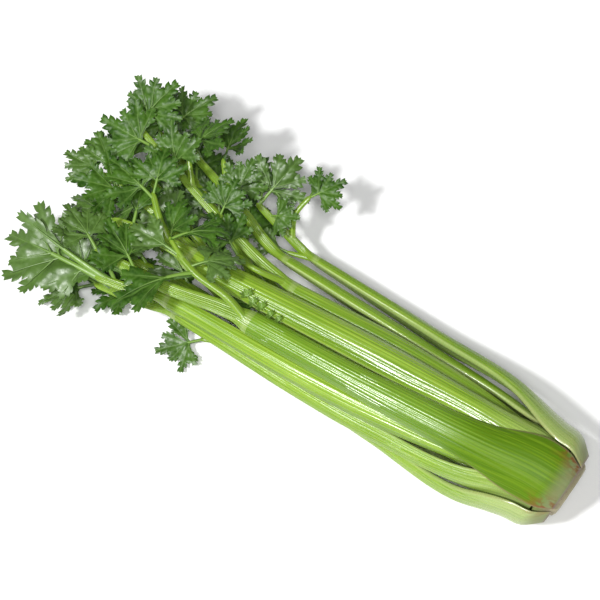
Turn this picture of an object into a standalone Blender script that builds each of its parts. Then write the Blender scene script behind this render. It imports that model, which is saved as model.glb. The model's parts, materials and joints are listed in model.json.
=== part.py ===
"""A head of celery lying on its side, as cut: the butt, the ribbed stalks that grow from it, and a leafy frond
on the end of each stalk.

Sizes are in millimetres and angles in degrees, and become metres when a mesh is made. The head lies along X with
the butt at +X; `s` is the distance from the butt's cut face towards the leaves, so x = -s. Looking along the head,
a direction across it is an angle from +Y (the far side) through +Z (up).
"""

import math
import random
from collections import namedtuple

import bmesh
import bpy
import numpy as np
from mathutils import Matrix, Vector
from mathutils.bvhtree import BVHTree
from mathutils.geometry import delaunay_2d_cdt

MM = 0.001

# ---------------------------------------------------------------- driving dimensions

AXIS_HEIGHT = 36.0  # the butt's axis above the table
HEEL = 13.0  # distances from the butt of a stalk's stations: where an outer stalk has turned up from the butt,
FOOT = 26.0  # where its foot is widest,
NECK = 62.0  # where the foot has narrowed,
MID = 130.0  # and halfway up
RISE = 5.0  # but at least this far above the stalk's first station,
HEEL_IN, FOOT_OUT = 0.6, 1.6  # how far the heels draw in and the feet swell outwards
NECK_LEAN = 0.45  # how far the neck has moved from over the foot to its place at the middle station
CUT_TILT, CUT_LEVEL = 0.14, 22.0  # the cut leans back below this height over the axis, by this much for each mm
CUT_FADE = (31.0, 71.0)  # and between these distances from the butt the lean fades away
NECK_WIDTH = 0.7  # a stalk's width at the neck, as a share of its foot's
RIBS = 5  # ribs on the back of each stalk
RIB_HEIGHT = 0.7
MARGIN_THINNING = 0.6  # share of a stalk's thickness lost at its two margins
MARGIN_CURL = 1.2  # how far round the tips of the margins go beyond the foot's wrap, in degrees
STALK_RINGS = {"outer": 10, "middle": 9, "inner": 8, "heart": 7}
INNER_POINTS = 3
CLEARANCE = 0.45  # free space kept between pieces

NECK_CURL, MID_CURL, TOP_CURL = 44, 54, 62  # half angles of a stalk's arc at its neck, middle and knuckle
START_THINNER, NECK_THICKER = 0.8, 1.15  # a stalk's thickness there, as shares of its foot's
MID_THICKNESS, TOP_THICKNESS = 7.8, 6.0
STATION_CROWDING = 1.5  # above 1, a stalk's rings lie closer together near the butt

CROWN_SIDES = 20
CROWN_WAVE = 0.012  # how far out of round the butt is
# The butt's profile: distance from the cut face and radius.
CROWN_PROFILE = (
    (0.0, 16.8), (1.4, 18.8), (3.2, 19.4), (8.0, 23.0), (13.8, 25.6), (14.6, 20.7), (22.6, 20.4), (23.2, 12.4),
    (30.2, 11.8),
)

# Where each ring of stalks grows from the butt: radius to the middle of the stalk's thickness, first station,
# thickness at the foot and how much closer to the axis it starts.
Ring = namedtuple("Ring", "radius start thickness turn")
RINGS = {
    "outer": Ring(31.5, 3.0, 5.4, 8.5),
    "middle": Ring(23.4, 15.5, 5.4, 0.0),
    "inner": Ring(15.0, 24.0, 5.2, 0.0),
    "heart": Ring(7.2, 31.0, 4.6, 0.0),
}

# Each stalk: its ring, the angle it grows at, half the angle that its foot wraps, how far it swells outwards above
# the foot, its place across the head and the way its back faces at the middle station, its width there, and the same
# at the knuckle where the leaf branches.
Stalk = namedtuple("Stalk", "ring angle wrap swell mid_place mid_facing mid_width knuckle knuckle_facing top_width")
STALKS = {
    "01": Stalk("outer", 110, 38, 3.2, (-19.5, 60), 108, 18.5, (228, -24, 57.5), 110, 14),
    "02": Stalk("outer", 34, 32, 4.5, (46, 28), 8, 15, (223, 48, 28), 15, 9.5),
    "03": Stalk("outer", 191, 32, 6.3, (-29, 8.4), 203, 12.5, (236, -26.5, 8.8), 206, 11.5),
    "04": Stalk("outer", 258, 31, 0.5, (-9, 4.2), 269, 18, (228, -10, 4.2), 268, 13),
    "05": Stalk("outer", 324, 30, 2.5, (19, 5.2), 278, 18, (222, 22, 4.4), 276, 12),
    "06": Stalk("middle", 73, 36, 2.7, (5, 57.5), 82, 20, (284, -7, 58), 88, 15.5),
    "07": Stalk("middle", 158, 30, 3.8, (-33.5, 27), 176, 13, (280, -34, 22), 180, 11),
    "08": Stalk("middle", -4, 32, 3.0, (33.5, 31), 8, 14, (238, 35, 34), 16, 10),
    "09": Stalk("middle", 230, 34, 0.0, (-13, 22), 235, 14, (232, -14, 21), 230, 12),
    "10": Stalk("inner", 38, 36, 3.0, (22, 44), 42, 13, (220, 17, 45), 55, 11),
    "11": Stalk("inner", 130.5, 33, 1.2, (-28.3, 44.3), 138, 13, (284, -35.5, 41), 143, 10.5),
    "12": Stalk("inner", 300, 36, 2.0, (12, 21), 300, 14, (230, 13, 21), 300, 11),
    "13": Stalk("heart", 95, 50, 2.0, (-4, 41), 95, 12, (215, -5, 41), 95, 10),
    "14": Stalk("heart", 275, 50, 2.0, (-1, 29), 270, 12, (208, -3, 29), 275, 9),
}


def unit(vector):
    return vector / np.linalg.norm(vector)


def across(angle):
    """The unit vector across the head at this angle."""
    turn = math.radians(angle)
    return np.array((0.0, math.cos(turn), math.sin(turn)))


def through(stations, values, s):
    """A smooth curve through the values at the stations, read at s."""
    stations = np.asarray(stations, float)
    values = np.asarray(values, float)
    slopes = np.gradient(values, stations, axis=0)
    i = int(np.clip(np.searchsorted(stations, s) - 1, 0, len(stations) - 2))
    span = stations[i + 1] - stations[i]
    t = (s - stations[i]) / span
    return (
        (2 * t**3 - 3 * t**2 + 1) * values[i]
        + (t**3 - 2 * t**2 + t) * span * slopes[i]
        + (3 * t**2 - 2 * t**3) * values[i + 1]
        + (t**3 - t**2) * span * slopes[i + 1]
    )


# ---------------------------------------------------------------- stalks


def arc_for(width, curl):
    """Radius of the arc that is this wide over twice the curl angle."""
    return width / 2 / math.sin(math.radians(curl))


def stalk_keys(stalk):
    """Stations of a stalk, and at each the centre of its section, the facing, the arc's radius and half angle, and
    the thickness."""
    ring = RINGS[stalk.ring]
    axis = np.array((0.0, AXIS_HEIGHT))
    foot = across(stalk.angle)[1:]

    def grown(reach, thickness):
        return (*(axis + foot * reach), stalk.angle, reach, stalk.wrap, thickness)

    neck_width = 2 * ring.radius * math.sin(math.radians(stalk.wrap)) * NECK_WIDTH
    over_foot = axis + foot * (ring.radius + stalk.swell)
    neck = over_foot + (np.array(stalk.mid_place) - over_foot) * NECK_LEAN + foot * stalk.swell * NECK_LEAN
    neck_facing = stalk.angle + ((stalk.mid_facing - stalk.angle + 180) % 360 - 180) * NECK_LEAN
    keys = [(ring.start, grown(ring.radius - ring.turn, ring.thickness * START_THINNER))]
    if ring.turn:
        keys.append((HEEL, grown(ring.radius - HEEL_IN, ring.thickness)))
    keys += [
        (max(FOOT, ring.start + RISE), grown(ring.radius + FOOT_OUT, ring.thickness)),
        (NECK, (*neck, neck_facing, arc_for(neck_width, NECK_CURL), NECK_CURL, ring.thickness * NECK_THICKER)),
        (MID, (*stalk.mid_place, stalk.mid_facing, arc_for(stalk.mid_width, MID_CURL), MID_CURL, MID_THICKNESS)),
    ]
    end, *top = stalk.knuckle
    keys.append((end, (*top, stalk.knuckle_facing, arc_for(stalk.top_width, TOP_CURL), TOP_CURL, TOP_THICKNESS)))
    return [s for s, _ in keys], [row for _, row in keys]


def section(facing, centre, radius, half_angle, thickness):
    """A crescent in the plane across the head: a ribbed back, thin round margins and a smooth hollow face."""
    out = across(facing)[1:]
    side = across(facing + 90)[1:]
    points = []

    def add(share, reach):
        turn = math.radians(half_angle * share)
        offset = side * math.sin(turn) * reach + out * (math.cos(turn) * reach - radius)
        points.append(np.asarray(centre) + offset)

    steps = 2 * RIBS
    for i in range(steps + 1):
        share = -1 + 2 * i / steps
        half = thickness / 2 * (1 - MARGIN_THINNING * share**2)
        add(share, radius + half + (RIB_HEIGHT if i % 2 else 0))
    add(1 + MARGIN_CURL / half_angle, radius)
    for i in range(INNER_POINTS + 1):
        share = 1 - 2 * i / INNER_POINTS
        half = thickness / 2 * (1 - MARGIN_THINNING * share**2)
        add(share, radius - half)
    add(-1 - MARGIN_CURL / half_angle, radius)
    return points


def stalk_section(stalk, s):
    stations, rows = stalk_keys(stalk)
    y, z, *shape = through(stations, rows, s)
    facing, radius, half_angle, thickness = shape
    return section(facing, (y, z), radius, half_angle, thickness)


def stalk_stations(stalk):
    start, end = RINGS[stalk.ring].start, stalk.knuckle[0]
    rings = STALK_RINGS[stalk.ring]
    return [start + (end - start) * (i / (rings - 1)) ** STATION_CROWDING for i in range(rings)]


# ---------------------------------------------------------------- fronds

SEED = 22
LEAF_THICKNESS = 0.8
BARE = 8.0  # blades and stems of one frond may touch this near to a blade's root
COLLAR = 0.45  # gap between a stalk's end and the foot of its frond
WIDER, FLATTER = 1.12, 0.86  # a stem's width and height, as shares of its diameter
MAIN_TUBE, SIDE_TUBE = (8, 6), (6, 3)  # sides and rings of a main stem, and of a side stem without its points
STEM_TAPER = 0.8  # below 1, a stem tapers more near its root
STRAIGHT = 6.0  # a frond's main stem goes straight on from its stalk for this far
# The collar's rings: distance from the stalk's end and share of its section.
COLLAR_RINGS = ((COLLAR, 0.98), (5.0, 0.84), (13.0, 0.42))
SUNK = 3.5  # how deep a blade's stalk is sunk in a stem that it goes straight on from,
SUNK_ASIDE = 0.8  # and in one that it leaves sideways, as a share of the stem's radius
TABLE_GAP = 0.35
STEM_TRIES, STEM_STEP = 120, 0.14  # tries to bend a stem clear of the rest, each this much farther from the plan
LEAF_TRIES, LEAF_STEP = 40, 1.1  # tries to turn a leaf clear at each size, in degrees from the plan
LEAF_SIZES, SMALLER = 4, 0.9  # sizes that are tried, each this share of the one before
SECOND_SPREAD = 8.0  # from the second size on, the tries start this far from the plan
TURN_ASIDE = 0.7  # a leaf's line is turned by this share of the tried angles
BEND_SPREAD = 0.4
TILT_SPREAD = 28.0  # how far leaves are rolled from their plan, in degrees
TWIST = 12.0  # how far a leaf twists either way along its length, in degrees
CUP = (-0.25, 0.45)  # how much a leaf's sides bend up
WAVE = (0.5, 1.6)  # height of a leaf's waves at the length it is drawn
TIP_SHORT = 2.0  # a leaf at a stem's end grows this far short of it

# A stem leaves its parent stem at a share of the parent's length (the first one grows from the knuckle), passes
# through points (distance from the butt, across, height) and tapers from one radius to the other.
Stem = namedtuple("Stem", "parent share path radii")
# A leaf grows on a stem at a share of its length and reaches towards its tip; its blade is rolled about that line
# from facing upwards, bends along its length (degrees, drooping when positive) and is one of the kinds below.
Leaf = namedtuple("Leaf", "stem share tip roll bend kind")

FRONDS = {
    "01": (
        (
            Stem(None, 0, ((289, -35, 60), (340, -38, 60)), (5.2, 2.4)),
            Stem(0, 0.03, ((247, -21, 65), (273, -20, 70), (291, -15, 72)), (2.6, 1.8)),
            Stem(1, 0.90, ((301, -9, 73),), (1.7, 1.4)),
        ),
        (
            Leaf(0, 1.0, (376, -22, 62), 0, 30, "three"),
            Leaf(1, 0.80, (251, 8, 67), 10, 45, "three"),
            Leaf(1, 0.72, (317, -59, 47), -20, 50, "one"),
            Leaf(1, 1.0, (330, -16, 71), 15, 30, "one"),
            Leaf(2, 1.0, (265, 14, 75), 20, 70, "one"),
            Leaf(0, 0.72, (345, -20, 72), 10, 50, "three"),
        ),
    ),
    "06": (
        (
            Stem(None, 0, ((318, -9, 57), (345, -13, 56)), (5.4, 2.4)),
            Stem(0, 0.28, ((316, 1, 64), (330, 13, 69)), (2.3, 1.6)),
        ),
        (
            Leaf(0, 1.0, (384, -10, 54), -5, 40, "three"),
            Leaf(0, 0.85, (374, -28, 50), -15, 40, "one"),
            Leaf(1, 1.0, (340, 44, 77), 8, 45, "three"),
            Leaf(1, 0.85, (368, 18, 71), 0, 45, "three"),
            Leaf(0, 0.75, (362, 16, 58), 10, 40, "one"),
            Leaf(0, 0.30, (312, 26, 66), 10, 50, "three"),
        ),
    ),
    "10": (
        (
            Stem(None, 0, ((285, 27, 52), (333, 39, 60), (370, 49, 66)), (4.0, 1.8)),
            Stem(0, 0.04, ((248, 14, 50), (268, 16, 54)), (2.2, 1.5)),
            Stem(0, 0.62, ((330, 52, 68),), (1.8, 1.4)),
        ),
        (
            Leaf(0, 1.0, (358, 86, 82), 10, 50, "three"),
            Leaf(1, 1.0, (298, 12, 62), 5, 40, "three"),
            Leaf(2, 1.0, (312, 84, 80), 10, 35, "three"),
            Leaf(0, 0.85, (392, 40, 70), 0, 40, "three"),
            Leaf(0, 0.45, (292, 56, 64), 15, 50, "three"),
            Leaf(0, 0.70, (345, 66, 76), 10, 45, "three"),
        ),
    ),
    "08": (
        (
            Stem(None, 0, ((288, 47, 43), (334, 60, 48), (356, 66, 52)), (3.8, 1.8)),
            Stem(0, 0.5, ((312, 66, 52),), (1.9, 1.4)),
        ),
        (
            Leaf(0, 1.0, (337, 99, 64), 12, 45, "three"),
            Leaf(0, 0.93, (388, 62, 66), 5, 40, "three"),
            Leaf(1, 1.0, (315, 98, 60), 10, 40, "three"),
            Leaf(0, 0.7, (362, 76, 34), -10, 40, "one"),
            Leaf(0, 0.45, (296, 78, 56), 12, 40, "three"),
        ),
    ),
    "02": (
        (
            Stem(None, 0, ((252, 51, 33), (278, 55, 42)), (3.5, 1.9)),
            Stem(0, 0.42, ((252, 62, 42), (249, 76, 50)), (2.0, 1.4)),
            Stem(0, 0.06, ((245, 41, 30),), (1.8, 1.3)),
        ),
        (
            Leaf(0, 1.0, (268, 96, 58), 12, 35, "three"),
            Leaf(0, 0.93, (296, 84, 54), 0, 40, "three"),
            Leaf(1, 1.0, (234, 98, 54), 8, 30, "three"),
            Leaf(1, 0.85, (252, 98, 52), 40, 30, "one"),
            Leaf(0, 0.80, (239, 66, 42), 5, 40, "three"),
            Leaf(2, 1.0, (272, 36, 38), 0, 30, "one"),
        ),
    ),
    "13": (
        (Stem(None, 0, ((288, 3, 44), (340, 10, 52), (370, 10, 58)), (3.6, 1.9)),),
        (
            Leaf(0, 1.0, (401, 8, 61), 0, 35, "three"),
            Leaf(0, 0.93, (392, 32, 60), 10, 40, "one"),
            Leaf(0, 0.78, (350, -16, 44), -20, 40, "one"),
            Leaf(0, 0.85, (384, -8, 63), -5, 40, "three"),
            Leaf(0, 0.10, (247, -16, 61), 0, 20, "one"),
        ),
    ),
    "14": (
        (Stem(None, 0, ((285, 10, 34), (335, 26, 44), (368, 32, 50)), (3.4, 1.9)),),
        (
            Leaf(0, 1.0, (398, 24, 54), 0, 35, "three"),
            Leaf(0, 0.93, (386, 44, 52), 10, 40, "three"),
            Leaf(0, 0.7, (345, 46, 38), 20, 40, "one"),
            Leaf(0, 0.6, (350, 6, 46), -10, 40, "three"),
        ),
    ),
    "12": (
        (Stem(None, 0, ((285, 34, 24), (335, 54, 32), (362, 64, 40)), (3.8, 2.0)),),
        (
            Leaf(0, 1.0, (392, 66, 50), 0, 35, "three"),
            Leaf(0, 0.92, (372, 96, 44), 8, 40, "three"),
            Leaf(0, 0.7, (345, 82, 30), 0, 45, "three"),
            Leaf(0, 0.5, (318, 72, 30), 0, 45, "three"),
        ),
    ),
    "11": (
        (Stem(None, 0, ((312, -42, 41), (336, -47, 41)), (3.9, 2.4)),),
        (
            Leaf(0, 1.0, (411, -52, 33), -8, 25, "five"),
            Leaf(0, 0.8, (409, -38, 42), 10, 25, "narrow"),
            Leaf(0, 0.5, (352, -22, 42), 0, 40, "one"),
            Leaf(0, 0.7, (384, -20, 44), 0, 40, "three"),
        ),
    ),
    "07": (
        (Stem(None, 0, ((312, -39, 19), (342, -43, 16)), (4.0, 2.2)),),
        (
            Leaf(0, 1.0, (368, -76, 6), -8, 30, "three"),
            Leaf(0, 0.92, (384, -52, 9), -4, 30, "three"),
        ),
    ),
    "03": (
        (
            Stem(None, 0, ((275, -26, 9), (315, -28, 9)), (3.8, 2.4)),
            Stem(0, 0.10, ((264, -33, 7),), (1.8, 1.3)),
        ),
        (
            Leaf(1, 1.0, (285, -58, 4), 0, 25, "three"),
            Leaf(0, 1.0, (356, -40, 6), 0, 20, "three"),
            Leaf(0, 0.8, (345, -10, 12), 0, 40, "one"),
        ),
    ),
    "09": (
        (Stem(None, 0, ((285, -12, 20), (338, -18, 22)), (3.8, 2.2)),),
        (
            Leaf(0, 1.0, (382, -24, 26), 0, 30, "three"),
            Leaf(0, 0.8, (362, 2, 30), 0, 40, "three"),
            Leaf(0, 0.5, (320, 8, 26), 0, 40, "three"),
        ),
    ),
    "04": (
        (Stem(None, 0, ((280, 2, 8), (330, 6, 12)), (3.8, 2.2)),),
        (
            Leaf(0, 1.0, (376, 6, 14), 0, 25, "three"),
            Leaf(0, 0.85, (356, 32, 18), 0, 30, "three"),
            Leaf(0, 0.5, (312, 28, 10), 0, 30, "three"),
        ),
    ),
    "05": (
        (Stem(None, 0, ((280, 38, 9), (325, 50, 13)), (3.8, 2.2)),),
        (
            Leaf(0, 1.0, (370, 62, 16), 0, 25, "three"),
            Leaf(0, 0.85, (340, 88, 16), 0, 30, "three"),
            Leaf(0, 0.5, (296, 74, 14), 0, 30, "three"),
            Leaf(0, 0.75, (372, 36, 10), 0, 30, "three"),
        ),
    ),
}

# The leaflets of each kind of leaf, in units of its length: base, angle from the leaf's line, length and lobes.
LEAFLETS = {
    "three": ((0.34, 0, 0.66, "both"), (0.30, 58, 0.56, "outer"), (0.30, -58, 0.56, "outer")),
    "five": (
        (0.46, 0, 0.54, "both"), (0.38, 44, 0.50, "outer"), (0.38, -44, 0.50, "outer"),
        (0.16, 50, 0.38, "outer"), (0.16, -50, 0.38, "outer"),
    ),
    "one": ((0.30, 0, 0.70, "both"),),
    "narrow": ((0.45, 0, 0.55, "none"),),
}
# The edge of a lobe from its base to its tip: share of the length and share of the half width.
LOBE_EDGE = ((0.0, 0.2), (0.62, 1.0), (0.72, 0.66))
# Half widths of a leaflet's middle lobe, its side lobes and a leaflet without them, as shares of its length.
MIDDLE_HALF, SIDE_HALF, SIMPLE_HALF = 0.18, 0.155, 0.13
SIDE_ROOT, SIDE_AHEAD, SIDE_ASIDE = 0.12, 0.70, 0.38  # where a side lobe starts on the midrib and where its tip is
LEAF_STRIP = 0.022  # half width of a leaf's own stalk


FLAT = {}
DRAWN = 50.0  # the length that leaves are drawn at
EDGE_DETAIL = 0.6  # bends of the drawn edge smaller than this are left out


def place(s, y, z):
    return np.array((-s, y, z), float)


def rooted(s, y, z):
    """A place on the butt or the stalks, with the lean of the cut."""
    fade = min(max((s - CUT_FADE[0]) / (CUT_FADE[1] - CUT_FADE[0]), 0.0), 1.0)
    lean = CUT_TILT * (AXIS_HEIGHT + CUT_LEVEL - z)
    return place(s + lean * (1 - fade * fade * (3 - 2 * fade)), y, z)


class Path:
    """A smooth line through points."""

    def __init__(self, points):
        self.points = np.array(points, float)
        steps = np.linalg.norm(np.diff(self.points, axis=0), axis=1)
        self.stations = np.concatenate(((0.0,), np.cumsum(steps)))
        self.length = self.stations[-1]

    def at(self, share):
        if len(self.points) == 2:
            return self.points[0] + (self.points[1] - self.points[0]) * share
        return through(self.stations, self.points, share * self.length)

    def along(self, share):
        a, b = max(share - 0.02, 0.0), min(share + 0.02, 1.0)
        return unit(self.at(b) - self.at(a))


def frame_at(direction):
    """The sideways and upward directions about a line."""
    side = unit(np.cross((0, 0, 1.0), direction))
    return side, np.cross(direction, side)


def tube(path, radii, sides, rings, grow=0.0):
    """Vertices and faces of a closed round stem along a path."""
    verts, faces = [], []
    for i in range(rings):
        share = i / (rings - 1)
        side, up = frame_at(path.along(share))
        radius = radii[0] + (radii[1] - radii[0]) * share**STEM_TAPER + grow
        centre = path.at(share)
        for k in range(sides):
            turn = 2 * math.pi * (k + 0.5) / sides
            verts.append(centre + side * (math.cos(turn) * radius * WIDER) + up * (math.sin(turn) * radius * FLATTER))
    for i in range(rings - 1):
        for k in range(sides):
            a, b = i * sides + k, i * sides + (k + 1) % sides
            faces += [(a, b, b + sides), (a, b + sides, a + sides)]
    for base, flip in ((0, True), ((rings - 1) * sides, False)):
        for k in range(1, sides - 1):
            face = (base, base + k, base + k + 1)
            faces.append(face[::-1] if flip else face)
    return np.array(verts), faces


def tube_detail(stem):
    """Sides and rings of a stem."""
    if stem.parent is None:
        return MAIN_TUBE
    return SIDE_TUBE[0], SIDE_TUBE[1] + len(stem.path)


def loft(rings):
    """Vertices and faces through rings of the same count of points; flat ends."""
    count = len(rings[0])
    verts = [point for ring in rings for point in ring]
    faces = []
    for i in range(len(rings) - 1):
        for k in range(count):
            a, b = i * count + k, i * count + (k + 1) % count
            faces += [(a, b, b + count), (a, b + count, a + count)]
    faces.append(tuple(range(count))[::-1])
    faces.append(tuple(range((len(rings) - 1) * count, len(rings) * count)))
    return np.array(verts), faces


def lobe(base, tip, half_width):
    """Outline of a leaf's lobe from its base to its tip."""
    base, tip = np.asarray(base, float), np.asarray(tip, float)
    line = tip - base
    normal = np.array((-line[1], line[0])) / np.linalg.norm(line)
    edge = [(base + line * f + normal * w * half_width) for f, w in LOBE_EDGE]
    other = [(base + line * f - normal * w * half_width) for f, w in LOBE_EDGE]
    return other + [tip] + edge[::-1]


def leaf_lobes(kind, vary=lambda low, high: (low + high) / 2):
    """The lobes of a leaf one unit long, as root, tip and half width, and the strips that join them."""
    lobes, strips = [], []
    farthest = 0.0
    for base, angle, length, shape in LEAFLETS[kind]:
        middle = angle == 0
        turn = math.radians(angle + (0 if middle else vary(-5, 5)))
        ahead = np.array((math.cos(turn), math.sin(turn)))
        aside = np.array((-ahead[1], ahead[0]))
        foot = np.array((base - (0.06 if middle else 0.0), 0.0))

        def spot(u, v):
            return foot + (ahead * u + aside * v) * length

        lobes.append((spot(0, 0), spot(vary(0.96, 1.04), 0), (SIMPLE_HALF if shape == "none" else MIDDLE_HALF) * length))
        for side in (1, -1):
            if shape == "none" or (shape == "outer" and side * angle < 0):
                continue
            tip = spot(SIDE_AHEAD * vary(0.92, 1.08), side * SIDE_ASIDE * vary(0.92, 1.08))
            lobes.append((spot(SIDE_ROOT, 0), tip, SIDE_HALF * length))
        if not middle:
            strips.append([spot(0.25, 0.03), spot(-0.05, 0.03), spot(-0.05, -0.03), spot(0.25, -0.03)])
        farthest = max(farthest, base)
    reach = farthest + 0.05
    w = LEAF_STRIP
    strips.append([(0, -w * 1.3), (reach, -w), (reach, w), (0, w * 1.3)])
    return lobes, strips


def blade_outline(kind):
    """Polygons of a flat leaf that is one unit long, and points along its ribs."""
    lobes, strips = leaf_lobes(kind)
    ribs = [root + (tip - root) * 0.5 for root, tip, _ in lobes]
    ribs.append(np.array(strips[-1][1]) * (0.5, 0))
    return [lobe(*part) for part in lobes] + strips, ribs


def flat_blade(kind, length):
    """Points (along, aside) and triangles of a flat leaf."""
    if kind not in FLAT:
        FLAT[kind] = drawn_blade(kind)
    flat, triangles = FLAT[kind]
    return flat * length / DRAWN, triangles


def drawn_blade(kind):
    """A flat leaf at the length it is drawn: the polygons' joint outline, then few triangles within it."""
    polygons, ribs = blade_outline(kind)
    points, edges = [], []
    for polygon in polygons:
        start = len(points)
        points += [Vector(np.asarray(p) * DRAWN) for p in polygon]
        edges += [(start + i, start + (i + 1) % len(polygon)) for i in range(len(polygon))]
    flat, _, triangles, *_ = delaunay_2d_cdt(points, edges, [], 1, 0.05)
    triangles = facing_up(np.array([tuple(p) for p in flat]), triangles)
    directed = {(t[i], t[(i + 1) % 3]) for t in triangles for i in range(3)}
    onward = {a: b for a, b in directed if (b, a) not in directed}
    first = min(onward, key=lambda i: flat[i].x)
    loop = [first]
    while onward[loop[-1]] != first:
        loop.append(onward[loop[-1]])
    outline = [np.array(tuple(flat[i])) for i in loop]
    kept = True
    while kept:
        kept = False
        for i, point in enumerate(outline):
            before, after = outline[i - 1], outline[(i + 1) % len(outline)]
            line = after - before
            off = abs(np.cross(line, point - before)) / np.linalg.norm(line)
            if off < EDGE_DETAIL and abs(point[0]) > 1e-6:
                del outline[i]
                kept = True
                break
    points = [Vector(p) for p in outline] + [Vector(np.asarray(p) * DRAWN) for p in ribs]
    edges = [(i, (i + 1) % len(outline)) for i in range(len(outline))]
    flat, _, triangles, *_ = delaunay_2d_cdt(points, edges, [], 1, 0.05)
    flat = np.array([tuple(p) for p in flat])
    return flat, facing_up(flat, triangles)


def facing_up(flat, triangles):
    """The triangles turned the same way, without slivers of no area."""
    kept = []
    for a, b, c in triangles:
        area = np.cross(flat[b] - flat[a], flat[c] - flat[a])
        if abs(area) > 1e-5:
            kept.append((a, b, c) if area > 0 else (a, c, b))
    return kept


def bent(flat, length, root, ahead, up, bend, twist, cup, wave, phase):
    """The flat leaf's points in space."""
    aside = np.cross(up, ahead)
    u, v = flat[:, :1], flat[:, 1:]
    total = math.radians(bend) or 1e-6
    radius = length / total
    turn = total * np.maximum(u, 0) / length
    forward = np.where(u > 0, radius * np.sin(turn), u)
    drop = radius * (1 - np.cos(turn))
    swing = math.radians(twist) * np.maximum(u, 0) / length
    level = up * np.cos(turn) + ahead * np.sin(turn)
    side = aside * np.cos(swing) + level * np.sin(swing)
    normal = level * np.cos(swing) - aside * np.sin(swing)
    ripple = wave * np.minimum(np.abs(v) / length * 4, 1.0) * np.sin(u / length * 9 + v / length * 7 + phase)
    return root + ahead * forward - up * drop + side * v + normal * (cup * v * v / length + ripple)


def thickened(points, triangles, thickness):
    """A closed sheet about the points, with the same triangles on both faces."""
    corners = np.array(triangles)
    a, b, c = (points[corners[:, i]] for i in range(3))
    facing = np.cross(b - a, c - a)
    normals = np.zeros_like(points)
    for i in range(3):
        np.add.at(normals, corners[:, i], facing)
    lengths = np.linalg.norm(normals, axis=1)
    lengths[lengths == 0] = 1
    normals /= lengths[:, None]
    count = len(points)
    verts = np.concatenate((points + normals * thickness / 2, points - normals * thickness / 2))
    edges = {(t[i], t[(i + 1) % 3]) for t in triangles for i in range(3)}
    rim = []
    for a, b in sorted(edges):
        if (b, a) not in edges:
            rim += [(b, a, a + count), (b, a + count, b + count)]
    return verts, list(triangles) + [(c + count, b + count, a + count) for a, b, c in triangles] + rim


def tree(verts, faces):
    return BVHTree.FromPolygons([Vector(v) for v in verts], faces, all_triangles=False, epsilon=0.0)


class Growth:
    """Everything placed so far, to keep new pieces clear of it."""

    def __init__(self):
        self.placed = []  # owner, tree of the whole piece, tree of the piece without its root

    def add(self, owner, verts, faces, bare=None):
        self.placed.append((owner, tree(verts, faces), tree(verts, faces) if bare is None else bare))

    def hits(self, owner, whole, bare):
        if whole[0][:, 2].min() < TABLE_GAP:
            return True
        whole_tree, bare_tree = tree(*whole), tree(*bare)
        for other, full, trimmed in self.placed:
            if other == owner:
                if bare_tree.overlap(trimmed):
                    return True
            elif whole_tree.overlap(full):
                return True
        return False


def beyond(verts, faces, root, distance):
    """The faces that lie wholly farther from the root than this."""
    far = np.linalg.norm(verts - root, axis=1) > distance
    return verts, [face for face in faces if all(far[i] for i in face)]


def grow_stems(growth, rng):
    """The stems of every frond, bent clear of one another: the main ones first."""
    stems = {name: [None] * len(frond[0]) for name, frond in FRONDS.items()}
    for level in range(max(len(plan) for plan, _ in FRONDS.values())):
        for name, (plan, _) in FRONDS.items():
            if level >= len(plan):
                continue
            stem = plan[level]
            stalk = STALKS[name]
            if stem.parent is None:
                start = place(stalk.knuckle[0] + COLLAR, *stalk.knuckle[1:])
            else:
                parent = stems[name][stem.parent]
                start = parent.at(stem.share) if parent else None
            if start is None:
                continue
            sides, rings = tube_detail(stem)
            for attempt in range(STEM_TRIES):
                spread = STEM_STEP * attempt
                points = [start] if stem.parent is not None else [start, start - np.array((STRAIGHT, 0.0, 0.0))]
                for i, point in enumerate(stem.path):
                    shift = np.array([rng.uniform(-1, 1) for _ in range(3)]) * spread * (i + 1) / len(stem.path)
                    points.append(place(*point) + shift)
                path = Path(points)
                grown = tube(path, stem.radii, sides, rings, CLEARANCE)
                bare = beyond(*grown, start, BARE if stem.parent is not None else 0)
                if not growth.hits(name, grown, bare):
                    break
            else:
                continue
            stems[name][level] = path
            verts, faces = tube(path, stem.radii, sides, rings)
            growth.add(name, verts, faces)
    return stems


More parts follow.
